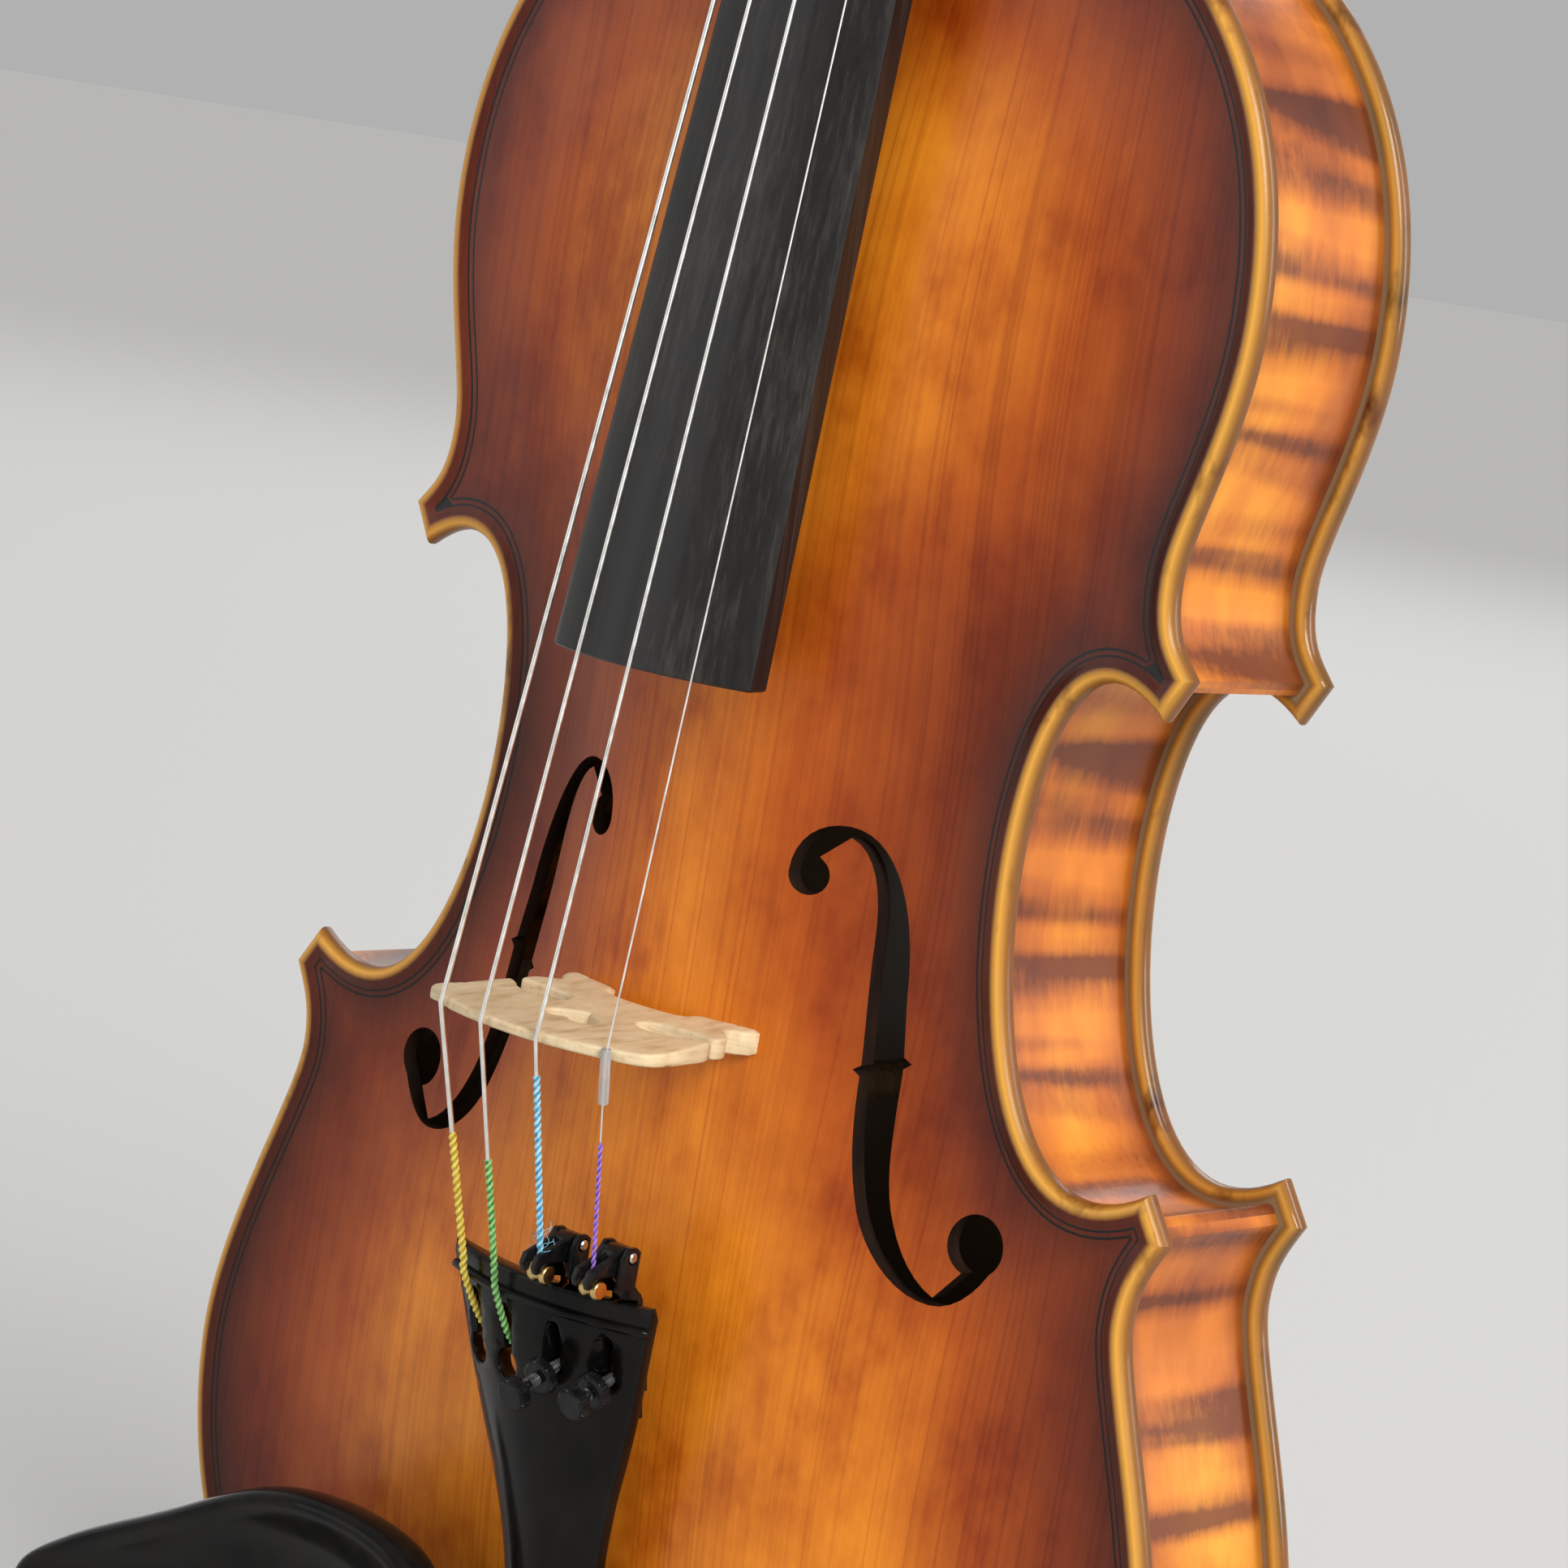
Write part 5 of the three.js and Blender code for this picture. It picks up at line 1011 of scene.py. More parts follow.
HOLE = sound_hole()
HOLE_LEFT = np.array([(-x, z) for x, z in HOLE])
ROOT_NOTCH = ((-17.2, 359.8), (17.2, 359.8), (17.2, 380), (-17.2, 380))
SADDLE_NOTCH = ((-17.2, 0), (17.2, 0), (17.2, 18.7), (-17.2, 18.7))
BUTTON_HALF = 10.5
BUTTON_Z = 368.0


def plate(name, outer, holes, guides, side, arch_height, material, node_name):
    """A carved plate with a rounded, fluted edge and its arching on both faces."""
    places, triangles = region(outer, holes, guides, spacing=4.2, clear=1.1)
    distance = distance_to(places, outer)
    upper, lower = plate_points(places, distance, side, arch_height)
    points, faces, walls = thick(places, triangles, upper.tolist(), lower.tolist())
    mesh = raw_mesh(name, points, faces + walls)
    inlay = np.full(len(places), 99.0)
    for run in side_curves():
        inlay = np.minimum(inlay, distance_to(places, run, closed=False))
    rim = np.clip(1 - np.abs(distance - 1.1) / 1.3, 0, 1)
    for label, outside, within in (
            ("edge", distance, distance), ("inlay", inlay, inlay), ("rim", rim, rim * 0.8),
            ("bare", np.zeros(len(places)), (distance > 2.2).astype(float))):
        set_attribute(mesh, label, np.concatenate([outside, within]))
    hole_edge = np.full(len(places), 99.0)
    for hole in holes:
        hole_edge = np.minimum(hole_edge, distance_to(places, hole))
    flags = np.zeros(len(faces) + len(walls), dtype=np.int32)
    for index, wall in enumerate(walls):
        if hole_edge[wall[0]] < 0.02 and hole_edge[wall[1]] < 0.02:
            flags[len(faces) + index] = 1
    turn_outwards(mesh)
    piece = finish_object(name, mesh, [MATERIAL[material], MATERIAL["wall"]], smooth_angle=38)
    mesh.polygons.foreach_set("material_index", flags)
    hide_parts(node_name)


def make_plates():
    guides = [body_loop(d) for d in PLATE_RINGS]
    rim = body_loop(0)
    plate("spruce_top", rim, [HOLE, HOLE_LEFT, ROOT_NOTCH, SADDLE_NOTCH], guides, -1, TOP_ARCH,
          "top", "top_plate")
    arc = [(BUTTON_HALF * math.cos(a), BUTTON_Z + BUTTON_HALF * math.sin(a))
           for a in np.linspace(0, math.pi, 31)]
    right = [tuple(p) for p in rim if p[0] > BUTTON_HALF or (p[0] >= 0 and p[1] < 100)]
    left = [tuple(p) for p in rim if p[0] < -BUTTON_HALF or (p[0] < 0 and p[1] < 100)]
    with_button = right + arc + left
    rounds = [circle((0, BUTTON_Z), BUTTON_HALF - inset, 40) for inset in (0.5, 1.7, 3.2)]
    plate("maple_back", with_button, [], guides + rounds, 1, BACK_ARCH,
          "back", "back_plate")


# ------------------------------------------------------------------ ribs

def resample(line, count, end=None):
    """Even points along a polyline, perhaps only up to a length along it."""
    line = np.asarray(line, dtype=float)
    steps = np.r_[0, np.cumsum(np.linalg.norm(np.diff(line, axis=0), axis=1))]
    at = np.linspace(0, steps[-1] if end is None else end, count)
    return np.stack([np.interp(at, steps, line[:, k]) for k in range(line.shape[1])], axis=1), at


def root_half(y):
    return float(np.interp(y, (-20, RIM), (17.0, 10.2)))


def rib(name, outside, inside_run, sign, node_name, notch=False):
    """One bent rib: a thin strip between the plates, with its length and height marked."""
    columns, rows = 120, np.linspace(-RIM, RIM, 9)
    points, faces, run, height = [], [], [], []

    def sheet(line):
        line = np.asarray(line, dtype=float)
        steps = np.r_[0, np.cumsum(np.linalg.norm(np.diff(line, axis=0), axis=1))]
        for y in rows:
            end = None
            if notch:
                end = float(np.interp(-root_half(y) - 0.1, -line[-60:, 0], steps[-60:]))
            spots, at = resample(line, columns, end)
            points.extend((sign * x, y, z) for x, z in spots)
            run.extend(at)
            height.extend([y] * columns)

    sheet(outside)
    sheet(inside_run)
    size = columns * len(rows)
    for r in range(len(rows) - 1):
        for c in range(columns - 1):
            a = r * columns + c
            quad = (a, a + 1, a + 1 + columns, a + columns)
            faces.append(quad)
            faces.append(tuple(i + size for i in reversed(quad)))
    border = list(range(columns))
    border += [r * columns + columns - 1 for r in range(1, len(rows))]
    border += [(len(rows) - 1) * columns + c for c in range(columns - 2, -1, -1)]
    border += [r * columns for r in range(len(rows) - 2, 0, -1)]
    for a, b in zip(border, border[1:] + border[:1]):
        faces.append((b, a, a + size, b + size))
    mesh = raw_mesh(name, points, faces)
    set_attribute(mesh, "run", run)
    set_attribute(mesh, "height", height)
    turn_outwards(mesh)
    piece = finish_object(name, mesh, [MATERIAL["ribs"]], smooth_angle=40)
    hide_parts(node_name)


def make_ribs():
    outer = half_runs(RIB_OVERHANG)
    inner = half_runs(RIB_OVERHANG + RIB_THICK)
    low = (outer[0][-1] + outer[1][0]) / 2
    high = (outer[1][-1] + outer[2][0]) / 2
    outside = {
        "lower": [*outer[0], low], "middle": [low, *outer[1], high], "upper": [high, *outer[2]],
    }
    within = {"lower": inner[0], "middle": inner[1], "upper": inner[2]}
    for part in ("lower", "middle", "upper"):
        for side, sign in (("treble", 1), ("bass", -1)):
            rib(f"{part}_rib_{side}", outside[part], within[part], sign, f"rib_{part}_{side}",
                notch=part == "upper")


# ------------------------------------------------------------------ neck, pegbox, scroll

def board_share(z):
    return (z - BOARD_Z) / (NUT_Z - BOARD_Z)


def board_half(z):
    return mix(*BOARD_HALF, board_share(z))


def board_apex(z):
    return mix(*BOARD_APEX, board_share(z))


def crown_drop(half):
    return BOARD_RADIUS - math.sqrt(BOARD_RADIUS ** 2 - half ** 2)


def board_edge(z):
    return board_apex(z) + crown_drop(board_half(z))


def glue_line(z):
    ends = [board_edge(e) + BOARD_SIDE for e in (BOARD_Z, NUT_Z)]
    return mix(*ends, board_share(z))


NECK_ROWS = (              # z, half width, depth behind the fingerboard, fullness
    (360, 17, 48, 0.5), (376, 17, 48, 0.5), (381, 17, 41, 0.55), (385, 16.9, 33, 0.6),
    (390, 16.6, 25.5, 0.75), (396, 16.2, 19.5, 0.9), (404, 15.8, 16.4, 1), (426, 14.9, 15, 1),
    (470.5, 12.9, 13.8, 1), (487.5, 12.3, 14.2, 1), (501, 12.1, 20, 0.8),
)
PEGBOX_ROWS = (            # z, half width, front y, back y, half width and floor y of the slot
    (496, 12.3, -9.9, 4.2, 7.9, -9.9), (499, 12.5, -9.5, 9.0, 7.9, -9.5),
    (502.5, 12.5, -9.1, 12.2, 7.8, -9.1), (503.2, 12.5, -9.0, 12.6, 7.8, -4),
    (509, 12.3, -8.3, 15.0, 7.5, 7.5), (522, 11.6, -6.6, 16.7, 7.1, 11.4),
    (540, 10.8, -4.4, 17.7, 6.5, 12.8), (552, 10.2, -2.9, 19.2, 6.0, 13.6), (558.5, 9.9, -2.0, 20.2, 5.8, 12),
    (560, 9.8, -1.8, 20.5, 5.7, -1.8), (566, 9.5, 0.6, 21.2, 5.5, 0.6), (575, 9.1, 6.0, 22.0, 5.2, 6.0),
)
SCROLL_WIDTH = ((0, 9), (0.35, 6.6), (0.75, 5.7), (1.05, 7.2), (1.5, 12.2), (1.95, 17.6), (2.3, 20.6))
SCROLL_TURNS = 2.2
SCROLL_SHRINK = 0.735      # the radius falls by a factor of e to this power in each turn
SCROLL_START = -0.72       # radians
PEGBOX_ROUNDING = 3.2
EYE_HALF = ((0, 6.0), (18, 4.8), (20.4, 4.0), (21.1, 3.0), (21.4, 1.6))  # x and radius of the eye's plug


def neck_ring(z):
    half, depth, full = hermite(NECK_ROWS, z)
    top = glue_line(min(z, NUT_Z)) + 0.1 + max(0.0, z - NUT_Z) * 0.12
    ring = []
    for i in range(49):
        angle = i / 48 * math.pi
        cos = math.cos(angle)
        waist = 1 - 0.36 * max(0.0, (depth - 22) / 26) * math.sin(angle)
        x = half * waist * math.copysign(abs(cos) ** full, cos)
        y = min(top + depth * max(math.sin(angle), 0.0) ** (0.55 + 0.35 * full), RIM - 0.05)
        if z < BODY_TOP - 2.9:
            x = math.copysign(min(abs(x), root_half(y) - 0.05), x)
        ring.append((x, y, z))
    return ring


def pegbox_ring(z):
    half, front, back, slot, floor = hermite(PEGBOX_ROWS, z)
    soft = PEGBOX_ROUNDING
    flank = [(half, front + 0.5), (half, mix(front, back, 0.4)), (half, back - soft)]
    for i in range(1, 8):
        a = i / 8 * math.pi / 2
        flank.append((half - soft * (1 - math.cos(a)), back - soft + soft * math.sin(a)))
    rear = [(mix(-half + soft, half - soft, i / 8), back) for i in range(9)]
    wall = [(half - 0.5, front), (slot + 0.4, front), (slot, min(front + 0.4, floor)),
            (slot, mix(front, floor, 0.5)), (slot, max(floor - 1.2, front)), (slot - 1.2, floor)]
    ring = flip(flank) + rear + flank[::-1] + wall + [(0, floor)] + flip(wall)[::-1]
    return [(x, y, z) for x, y in ring]


def scroll_ring(turn):
    """A section of the volute: two flutes with a spine between them, and its flat flanks."""
    half = float(hermite(SCROLL_WIDTH, turn)[0])
    outer = SCROLL_RADIUS * math.exp(-SCROLL_SHRINK * turn)
    inner = outer * (0.42 if turn < SCROLL_TURNS - 1 else 0.02)
    angle = SCROLL_START + turn * 2 * math.pi
    flutes = []
    for i in range(25):
        s = mix(-1, 1, i / 24)
        flute = 0.085 * math.sin(math.pi * min(abs(s) * 1.12, 1)) ** 2
        edge = 0.05 if abs(s) > 0.999 else 0.0
        flutes.append((s * half, outer * (1 - flute - edge)))
    flank = []
    for r in (0.93, 0.86, 0.78, 0.7, 0.6, 0.5):
        swell = 0.25 - 1.0 * math.sin(math.pi * (0.95 - r) / 0.5)
        flank.append((half + swell * outer / SCROLL_RADIUS, max(outer * r, inner)))
    flank.append((half * 0.9, inner))
    ring = flutes + flank + flip(flank)[::-1]
    return [(x, EYE[0] + r * math.cos(angle), EYE[1] + r * math.sin(angle)) for x, r in ring]


def make_neck():
    handle_z = np.r_[np.linspace(360, 410, 46), np.linspace(412, 501, 40)]
    handle = loft_parts([neck_ring(float(z)) for z in handle_z])
    box_z = np.r_[np.linspace(496, 512, 20), np.linspace(514, 556, 22), np.linspace(557, 575, 22)]
    box = loft_parts([pegbox_ring(float(z)) for z in box_z])
    volute = loft_parts([scroll_ring(float(t)) for t in np.linspace(0, SCROLL_TURNS, 170)])
    plug = [(-x, r) for x, r in EYE_HALF[:0:-1]] + list(EYE_HALF)
    eye = loft_parts([[(x, y, z) for y, z in circle(EYE, r, 32)] for x, r in plug])
    add_piece("neck_and_scroll", merged(handle, box, volute, eye), "neck", "neck",
              smooth_angle=42)


# ------------------------------------------------------------------ fingerboard and nut

def board_ring(z, rounding=0.0):
    half = board_half(z) - rounding
    ring = []
    for i in range(41):
        x = mix(half, -half, i / 40)
        ease = 0.35 * max(0.0, (abs(x) / half - 0.955) / 0.045) ** 2
        ring.append((x, board_apex(z) + crown_drop(abs(x)) + ease + rounding, z))
    scoop = max(0.0, min(1.0, (352 - z) / 40)) ** 0.7
    low = glue_line(z) - rounding
    ring.append((-half + 0.25, mix(board_edge(z), low, 0.5), z))
    for i in range(25):
        x = mix(-half + 0.6, half - 0.6, i / 24)
        hollow = 4.6 * scoop * math.sqrt(max(0.0, 1 - (x / (half * 0.76)) ** 2))
        ring.append((x, low - hollow, z))
    ring.append((half - 0.25, mix(board_edge(z), low, 0.5), z))
    return ring


def make_board():
    zs = [BOARD_Z + 0.3, *np.linspace(BOARD_Z + 0.8, 366, 36), *np.linspace(370, NUT_Z - 0.2, 16)]
    rings = [board_ring(BOARD_Z, 0.35)] + [board_ring(float(z)) for z in zs]
    add_piece("ebony_board", loft_parts(rings), "ebony", "fingerboard", smooth_angle=38)

    def nut_ring(z, top):
        ring = []
        for i in range(61):
            x = mix(12, -12, i / 60)
            notch = 0.0
            for s in STRING_AT_NUT.values():
                notch = max(notch, 0.45 * math.exp(-((x - s) / 0.5) ** 2))
            ease = 0.8 * max(0.0, (abs(x) - 11) / 1.0) ** 2
            ring.append((x, top + crown_drop(abs(x)) * 0.35 + notch + ease, z))
        low = glue_line(NUT_Z) + max(0.0, z - NUT_Z) * 0.12
        return ring + [(-12, low, z), (12, low, z)]

    rows = ((0, 0.35), (0.35, 0.05), (1.2, 0), (2.4, 0.3), (3.6, 1.5), (4.8, 3.2), (5.5, 4.6))
    rings = [nut_ring(NUT_Z + dz, NUT_CROWN_Y + dy) for dz, dy in rows]
    add_piece("string_nut", loft_parts(rings), "ebony", "nut")


# ------------------------------------------------------------------ bridge

def bridge_outline():
    start = (8.9, 0.2)
    pieces = (
        ((20.5, -0.9),), ((20.7, 0.6),),
        ((19, 1.3), (17.9, 1.8), (17.8, 2.9)), ((17.9, 4.2), (20.2, 4.4), (20.9, 6.4)),
        ((21.3, 7.8), (21.2, 8.8), (20.4, 9.3)), ((18.6, 9), (15.5, 8.8), (12, 9.4)),
        ((8, 10), (6.6, 12.2), (8.6, 13.8)), ((11, 15.2), (15.6, 14.8), (18.2, 12.8)),
        ((19.4, 11.6), (20.6, 10.8), (21.8, 10.9)), ((22.4, 13.5), (23, 18), (23.1, 22.4)),
        ((23.3, 24.4), (22.8, 26), (21, 27.4)),
    )
    right = [start]
    for piece in pieces:
        if len(piece) == 1:
            a, b = right[-1], piece[0]
            steps = max(1, int(math.dist(a, b) / 1.0))
            right += [(mix(a[0], b[0], i / steps), mix(a[1], b[1], i / steps)) for i in range(1, steps + 1)]
        else:
            shape = (right[-1], *piece)
            right += [tuple(bezier(shape, i / 8)) for i in range(1, 9)]

    def rise(x):
        notch = 0.0
        for bx, _ in STRING_AT_BRIDGE.values():
            notch = max(notch, 0.35 * math.exp(-((x + BRIDGE_X - bx) / 0.45) ** 2))
        return BRIDGE_CROWN - (0.012 if x > 0 else 0.01) * x * x - notch

    top = [(mix(19.6, -19.6, i / 80), rise(mix(19.6, -19.6, i / 80))) for i in range(81)]
    left = [(-x * (1 + 0.011 * max(0.0, h - 19)), h) for x, h in reversed(right)]
    legs = [(-8.9 * math.cos(i / 20 * math.pi), 1.1 + 2.4 * math.sin(i / 20 * math.pi) ** 0.6)
            for i in range(21)]
    return np.array(right + top + left + legs)


def bridge_heart():
    shapes = (
        ((0, 15), (1.2, 16.4), (5, 17.2), (5, 19.6)), ((5, 19.6), (5, 21.8), (1.4, 22.2), (0, 20)),
        ((0, 20), (-1.4, 22.2), (-5, 21.8), (-5, 19.6)), ((-5, 19.6), (-5, 17.2), (-1.2, 16.4), (0, 15)),
    )
    return np.array([tuple(bezier(s, i / 9)) for s in shapes for i in range(9)])


def border_rows(loop, depths, inwards=1):
    """Points a little way in from a loop, kept only where they are truly that deep."""
    loop = np.asarray(loop, dtype=float)
    tangent = np.roll(loop, -1, axis=0) - np.roll(loop, 1, axis=0)
    tangent /= np.maximum(np.linalg.norm(tangent, axis=1, keepdims=True), 1e-9)
    normal = np.stack([-tangent[:, 1], tangent[:, 0]], axis=1) * inwards
    found = []
    for depth in depths:
        moved = loop + normal * depth
        found.append(moved[distance_to(moved, loop) > depth * 0.93])
    return found


def turning(loop):
    """+1 for a loop that runs anticlockwise, -1 for the other way."""
    x, y = np.asarray(loop, dtype=float).T
    return 1 if np.sum(x * np.roll(y, -1) - np.roll(x, -1) * y) > 0 else -1


def rounded_slab(outer, holes, radius, spacing, rows=(0.12, 0.45, 1.0)):
    """Triangles over a flat outline, and how far each point's faces sink at its rounded rim."""
    loops = [np.asarray(outer, dtype=float)] + [np.asarray(h, dtype=float) for h in holes]
    extra = []
    for index, loop in enumerate(loops):
        inward = turning(loop) if index == 0 else -turning(loop)
        for found in border_rows(loop, [radius * r for r in rows], inward):
            gap = np.min([distance_to(found, other) for other in loops], axis=0)
            keep = inside(found, loops[0]) & (gap > radius * rows[0] * 0.9)
            for hole in loops[1:]:
                keep &= ~inside(found, hole)
            extra.append(found[keep])
    places, triangles = region(outer, holes, (), spacing, radius * 1.3, np.concatenate(extra))
    rim = np.min([distance_to(places, loop) for loop in loops], axis=0)
    near = np.clip(rim / radius, 0, 1)
    sink = radius * (1 - np.sqrt(np.maximum(0, 1 - (1 - near) ** 2)))
    return places, triangles, sink


def make_bridge():
    outer = np.array(thinned(bridge_outline(), 0.05))
    places, triangles, sink = rounded_slab(outer, [bridge_heart()], 0.45, 1.3)
    crown = -top_surface(BRIDGE_X, STRING_KINK_Z)
    upper, lower = [], []
    for (x, h), s in zip(places, sink):
        share = min(max(h / BRIDGE_CROWN, 0.0), 1.0)
        front = BRIDGE_BACK_Z + mix(4.1, 1.6, share ** 0.9) - s
        back = BRIDGE_BACK_Z + s
        for z, surface in ((front, upper), (back, lower)):
            y = -(crown + h)
            if h < 1.2:
                seat = top_surface(x + BRIDGE_X, z) - 0.02
                y = mix(seat, y, min(max(h / 1.2, 0.0), 1.0))
            surface.append((x + BRIDGE_X, y, z))
    points, faces, walls = thick(places, triangles, upper, lower)
    add_piece("carved_bridge", (points, faces + walls), "bridge", "bridge", smooth_angle=50)


# ------------------------------------------------------------------ tailpiece

def tail_edge(z):
    return TAIL_TOP_Y + TAIL_SLOPE * (TAIL_TOP_Z - z)


def tail_surface(x, z):
    half, crown = hermite(TAIL_ROWS, z)
    return tail_edge(z) - crown * (1 - min(abs(x) / half, 1) ** 2)


def tail_under(x, z):
    half, crown = hermite(TAIL_ROWS, z)
    hollow = 0.75 * min(max((z - 40) / 30, 0), 1)
    return tail_edge(z) + TAIL_THICK - hollow * crown * (1 - min(abs(x) / half, 1) ** 2)


def slot_lean(x):
    return x * 0.0025


def keyhole(x, eye, half, low, high):
    """A slot with a round end, leaning with the tailpiece's sides."""
    loop = []
    start = math.asin(min(half / eye, 1))
    for i in range(25):
        a = math.pi / 2 + start + (2 * math.pi - 2 * start) * i / 24
        loop.append((eye * math.cos(a), low + eye * math.sin(a)))
    for i in range(9):
        a = math.pi * i / 8
        loop.append((half * math.cos(a), high - half + half * math.sin(a)))
    return [(x + px + slot_lean(x) * (pz - BALL_Z), pz) for px, pz in loop]


KEYHOLES = {               # radius of the eye, half width of the slot, z of the eye
    "g": (2.4, 0.9, 114.3), "d": (2.4, 0.9, 114.3), "a": (1.5, 0.8, 116.9), "e": (1.5, 0.8, 116.9),
}
SLOT_TOP_Z = 124.3


def make_tailpiece():
    rows = np.linspace(TAIL_END_Z, TAIL_TOP_Z, 60)
    right = [(float(hermite(TAIL_ROWS, z)[0]), z) for z in rows]
    right[0] = (right[0][0] - 1.4, right[0][1])
    right[-1] = (right[-1][0] - 0.7, right[-1][1])
    across_top = [(x, TAIL_TOP_Z) for x in np.linspace(19, -19, 20)]
    across_low = [(x, TAIL_END_Z) for x in np.linspace(-5, 5, 6)]
    left = [(-x, z) for x, z in reversed(right)]
    outer = right + across_top + left + across_low
    holes = [keyhole(TAIL_STRING_X[name], *KEYHOLES[name], SLOT_TOP_Z) for name in STRING_NAMES]
    places, triangles, sink = rounded_slab(outer, holes, 0.7, 1.9)
    upper = [(x, tail_surface(x, z) + s, z) for (x, z), s in zip(places, sink)]
    lower = [(x, tail_under(x, z) - 0.6 * s, z) for (x, z), s in zip(places, sink)]
    points, faces, walls = thick(places, triangles, upper, lower)
    add_piece("black_tailpiece", (points, faces + walls), "gloss", "tailpiece",
              smooth_angle=45)
    make_tail_fret()


def make_tail_fret():
    """The raised bar that the strings bend over."""
    half = float(hermite(TAIL_ROWS, FRET_Z)[0]) + 0.8
    rings = []
    for i in range(49):
        x = mix(-half, half, i / 48)
        base = tail_surface(x, FRET_Z)
        end = math.sqrt(max(0.0, 1 - (max(0.0, abs(x) - half + 1.0) / 1.0) ** 2)) * 0.9 + 0.1
        ring = [(x, base + 0.5, FRET_Z + 0.8 * end)]
        for k in range(9):
            a = math.pi * k / 8
            ring.append((x, base + 0.1 - 1.2 * end * math.sin(a), FRET_Z + 0.8 * end * math.cos(a)))
        ring.append((x, base + 0.5, FRET_Z - 0.8 * end))
        rings.append(ring)
    add_piece("tail_fret", loft_parts(rings), "gloss", "tailpiece_fret",
              smooth_angle=60)


# ------------------------------------------------------------------ saddle, button, gut

def copy_node(name, new_name, material, body="violin_body", width=0.25, segments=2):
    """A fresh, softened piece with the outline of a CAD node."""
    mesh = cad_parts[name].data.copy()
    mesh.name = new_name
    mesh.materials.clear()
    work = bmesh.new()
    work.from_mesh(mesh)
    bmesh.ops.remove_doubles(work, verts=work.verts, dist=1e-6)
    bmesh.ops.dissolve_limit(work, angle_limit=math.radians(1), verts=work.verts, edges=work.edges)
    work.to_mesh(mesh)
    work.free()
    piece = bpy.data.objects.new(new_name, mesh)
    bpy.context.scene.collection.objects.link(piece)
    mesh.materials.append(MATERIAL[material])
    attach(piece, body)
    soften(piece, width, segments)
    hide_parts(name)
    return piece


def add_lathe(name, profile, origin, direction, material, node_name, body="violin_body",
              sides=48, ripple=None, smooth_angle=38):
    """A turned piece; profile is (radius, distance along the axis)."""
    parts = lathe_parts(profile, origin, direction, sides, ripple)
    return add_piece(name, parts, material, node_name, body, smooth_angle)


BUTTON_PROFILE = (         # radius, z
    (0.01, 0), (3.4, 0.05), (4.6, 0.3), (6, 1), (6.9, 2.1), (7.3, 3.4), (7.1, 4.8), (6.5, 6.3),
    (5.4, 7.6), (4.2, 8.8), (3.6, 9.3), (3.6, 12), (5.4, 12.3), (5.4, 13.6), (4, 13.7), (3.4, 42), (0.01, 42),
)


def make_lower_end():
    copy_node("saddle", "ebony_saddle", "ebony", width=0.8, segments=3)
    add_lathe("turned_button", BUTTON_PROFILE, (0, 0, 0), (0, 0, 1), "ebony", "end_button")
    half = [(4.5, tail_edge(30) + 0.1, 30), (4.5, tail_edge(22) + 0.1, 22), (4.5, -25.5, 18.4),
            (4.5, -25.75, 15), (4.5, -25.6, 12.4), (4.5, -24.4, 9.9), (4.5, -22, 9.2), (4.6, -17, 9.2),
            (4.8, -9, 10.4)]
    bend = [(5 * math.cos(i / 12 * math.pi), 5 * math.sin(i / 12 * math.pi), 10.7) for i in range(13)]
    route = smooth_route([*half, *bend, *[(-x, y, z) for x, y, z in reversed(half)]], 4)
    add_piece("gut_loop", tube_parts(route, 1.1, 14), "gut", "tail_gut")


# ------------------------------------------------------------------ pegs and strings

PEG_SHANK = (              # radius, distance from the middle of the pegbox
    (0.01, -14.6), (2.9, -14.6), (3.2, -14.2), (3.55, 12.9), (4.2, 13.2), (4.8, 14), (4.9, 14.6),
    (4.7, 15.3), (4.2, 15.9), (3.2, 16.8), (2.8, 18), (2.75, 19.5), (3.2, 21.5), (0.01, 22),
)
PEG_BEAD = ((0.01, 0), (1.2, 0.1), (1.5, 0.8), (1.3, 1.5), (0.7, 1.9), (0.01, 2.0))
PEG_BEAD_X = 36.4
GRIP_X = 28.0
GRIP_REACH = (8.6, 3.3, 11.2)  # half sizes of the grip along x, y and z
GRIP_DISH = 0.9
COIL_WIDTH = 3.0
COIL_CORE = 3.75
COIL_STEPS = 20            # for each turn


def peg_grip(y, z, side):
    """The flat oval that the fingers hold, dished on both faces."""
    rings = []
    for i in range(29):
        t = mix(-math.pi / 2, math.pi / 2, i / 28)
        x = side * (GRIP_X + GRIP_REACH[0] * math.sin(t))
        reach = max(math.cos(t), 0.02)
        ring = []
        for k in range(40):
            a = 2 * math.pi * k / 40
            flat = GRIP_REACH[1] - GRIP_DISH * math.sin(abs(math.cos(a)) * math.pi) * reach
            ring.append((x, y + flat * reach * math.sin(a), z + GRIP_REACH[2] * reach * math.cos(a)))
        rings.append(ring)
    return loft_parts(rings)


def coil_route(y, z, coil, radius):
    """Turns of string side by side round a peg's shank."""
    steps = int(COIL_WIDTH / (2 * radius + 0.04) * COIL_STEPS)
    r = COIL_CORE + radius
    route = []
    for i in range(steps + 1):
        a = 2 * math.pi * i / COIL_STEPS
        x = coil - COIL_WIDTH / 2 + COIL_WIDTH * i / steps
        route.append((x, y - r * math.cos(a), z + r * math.sin(a)))
    return route


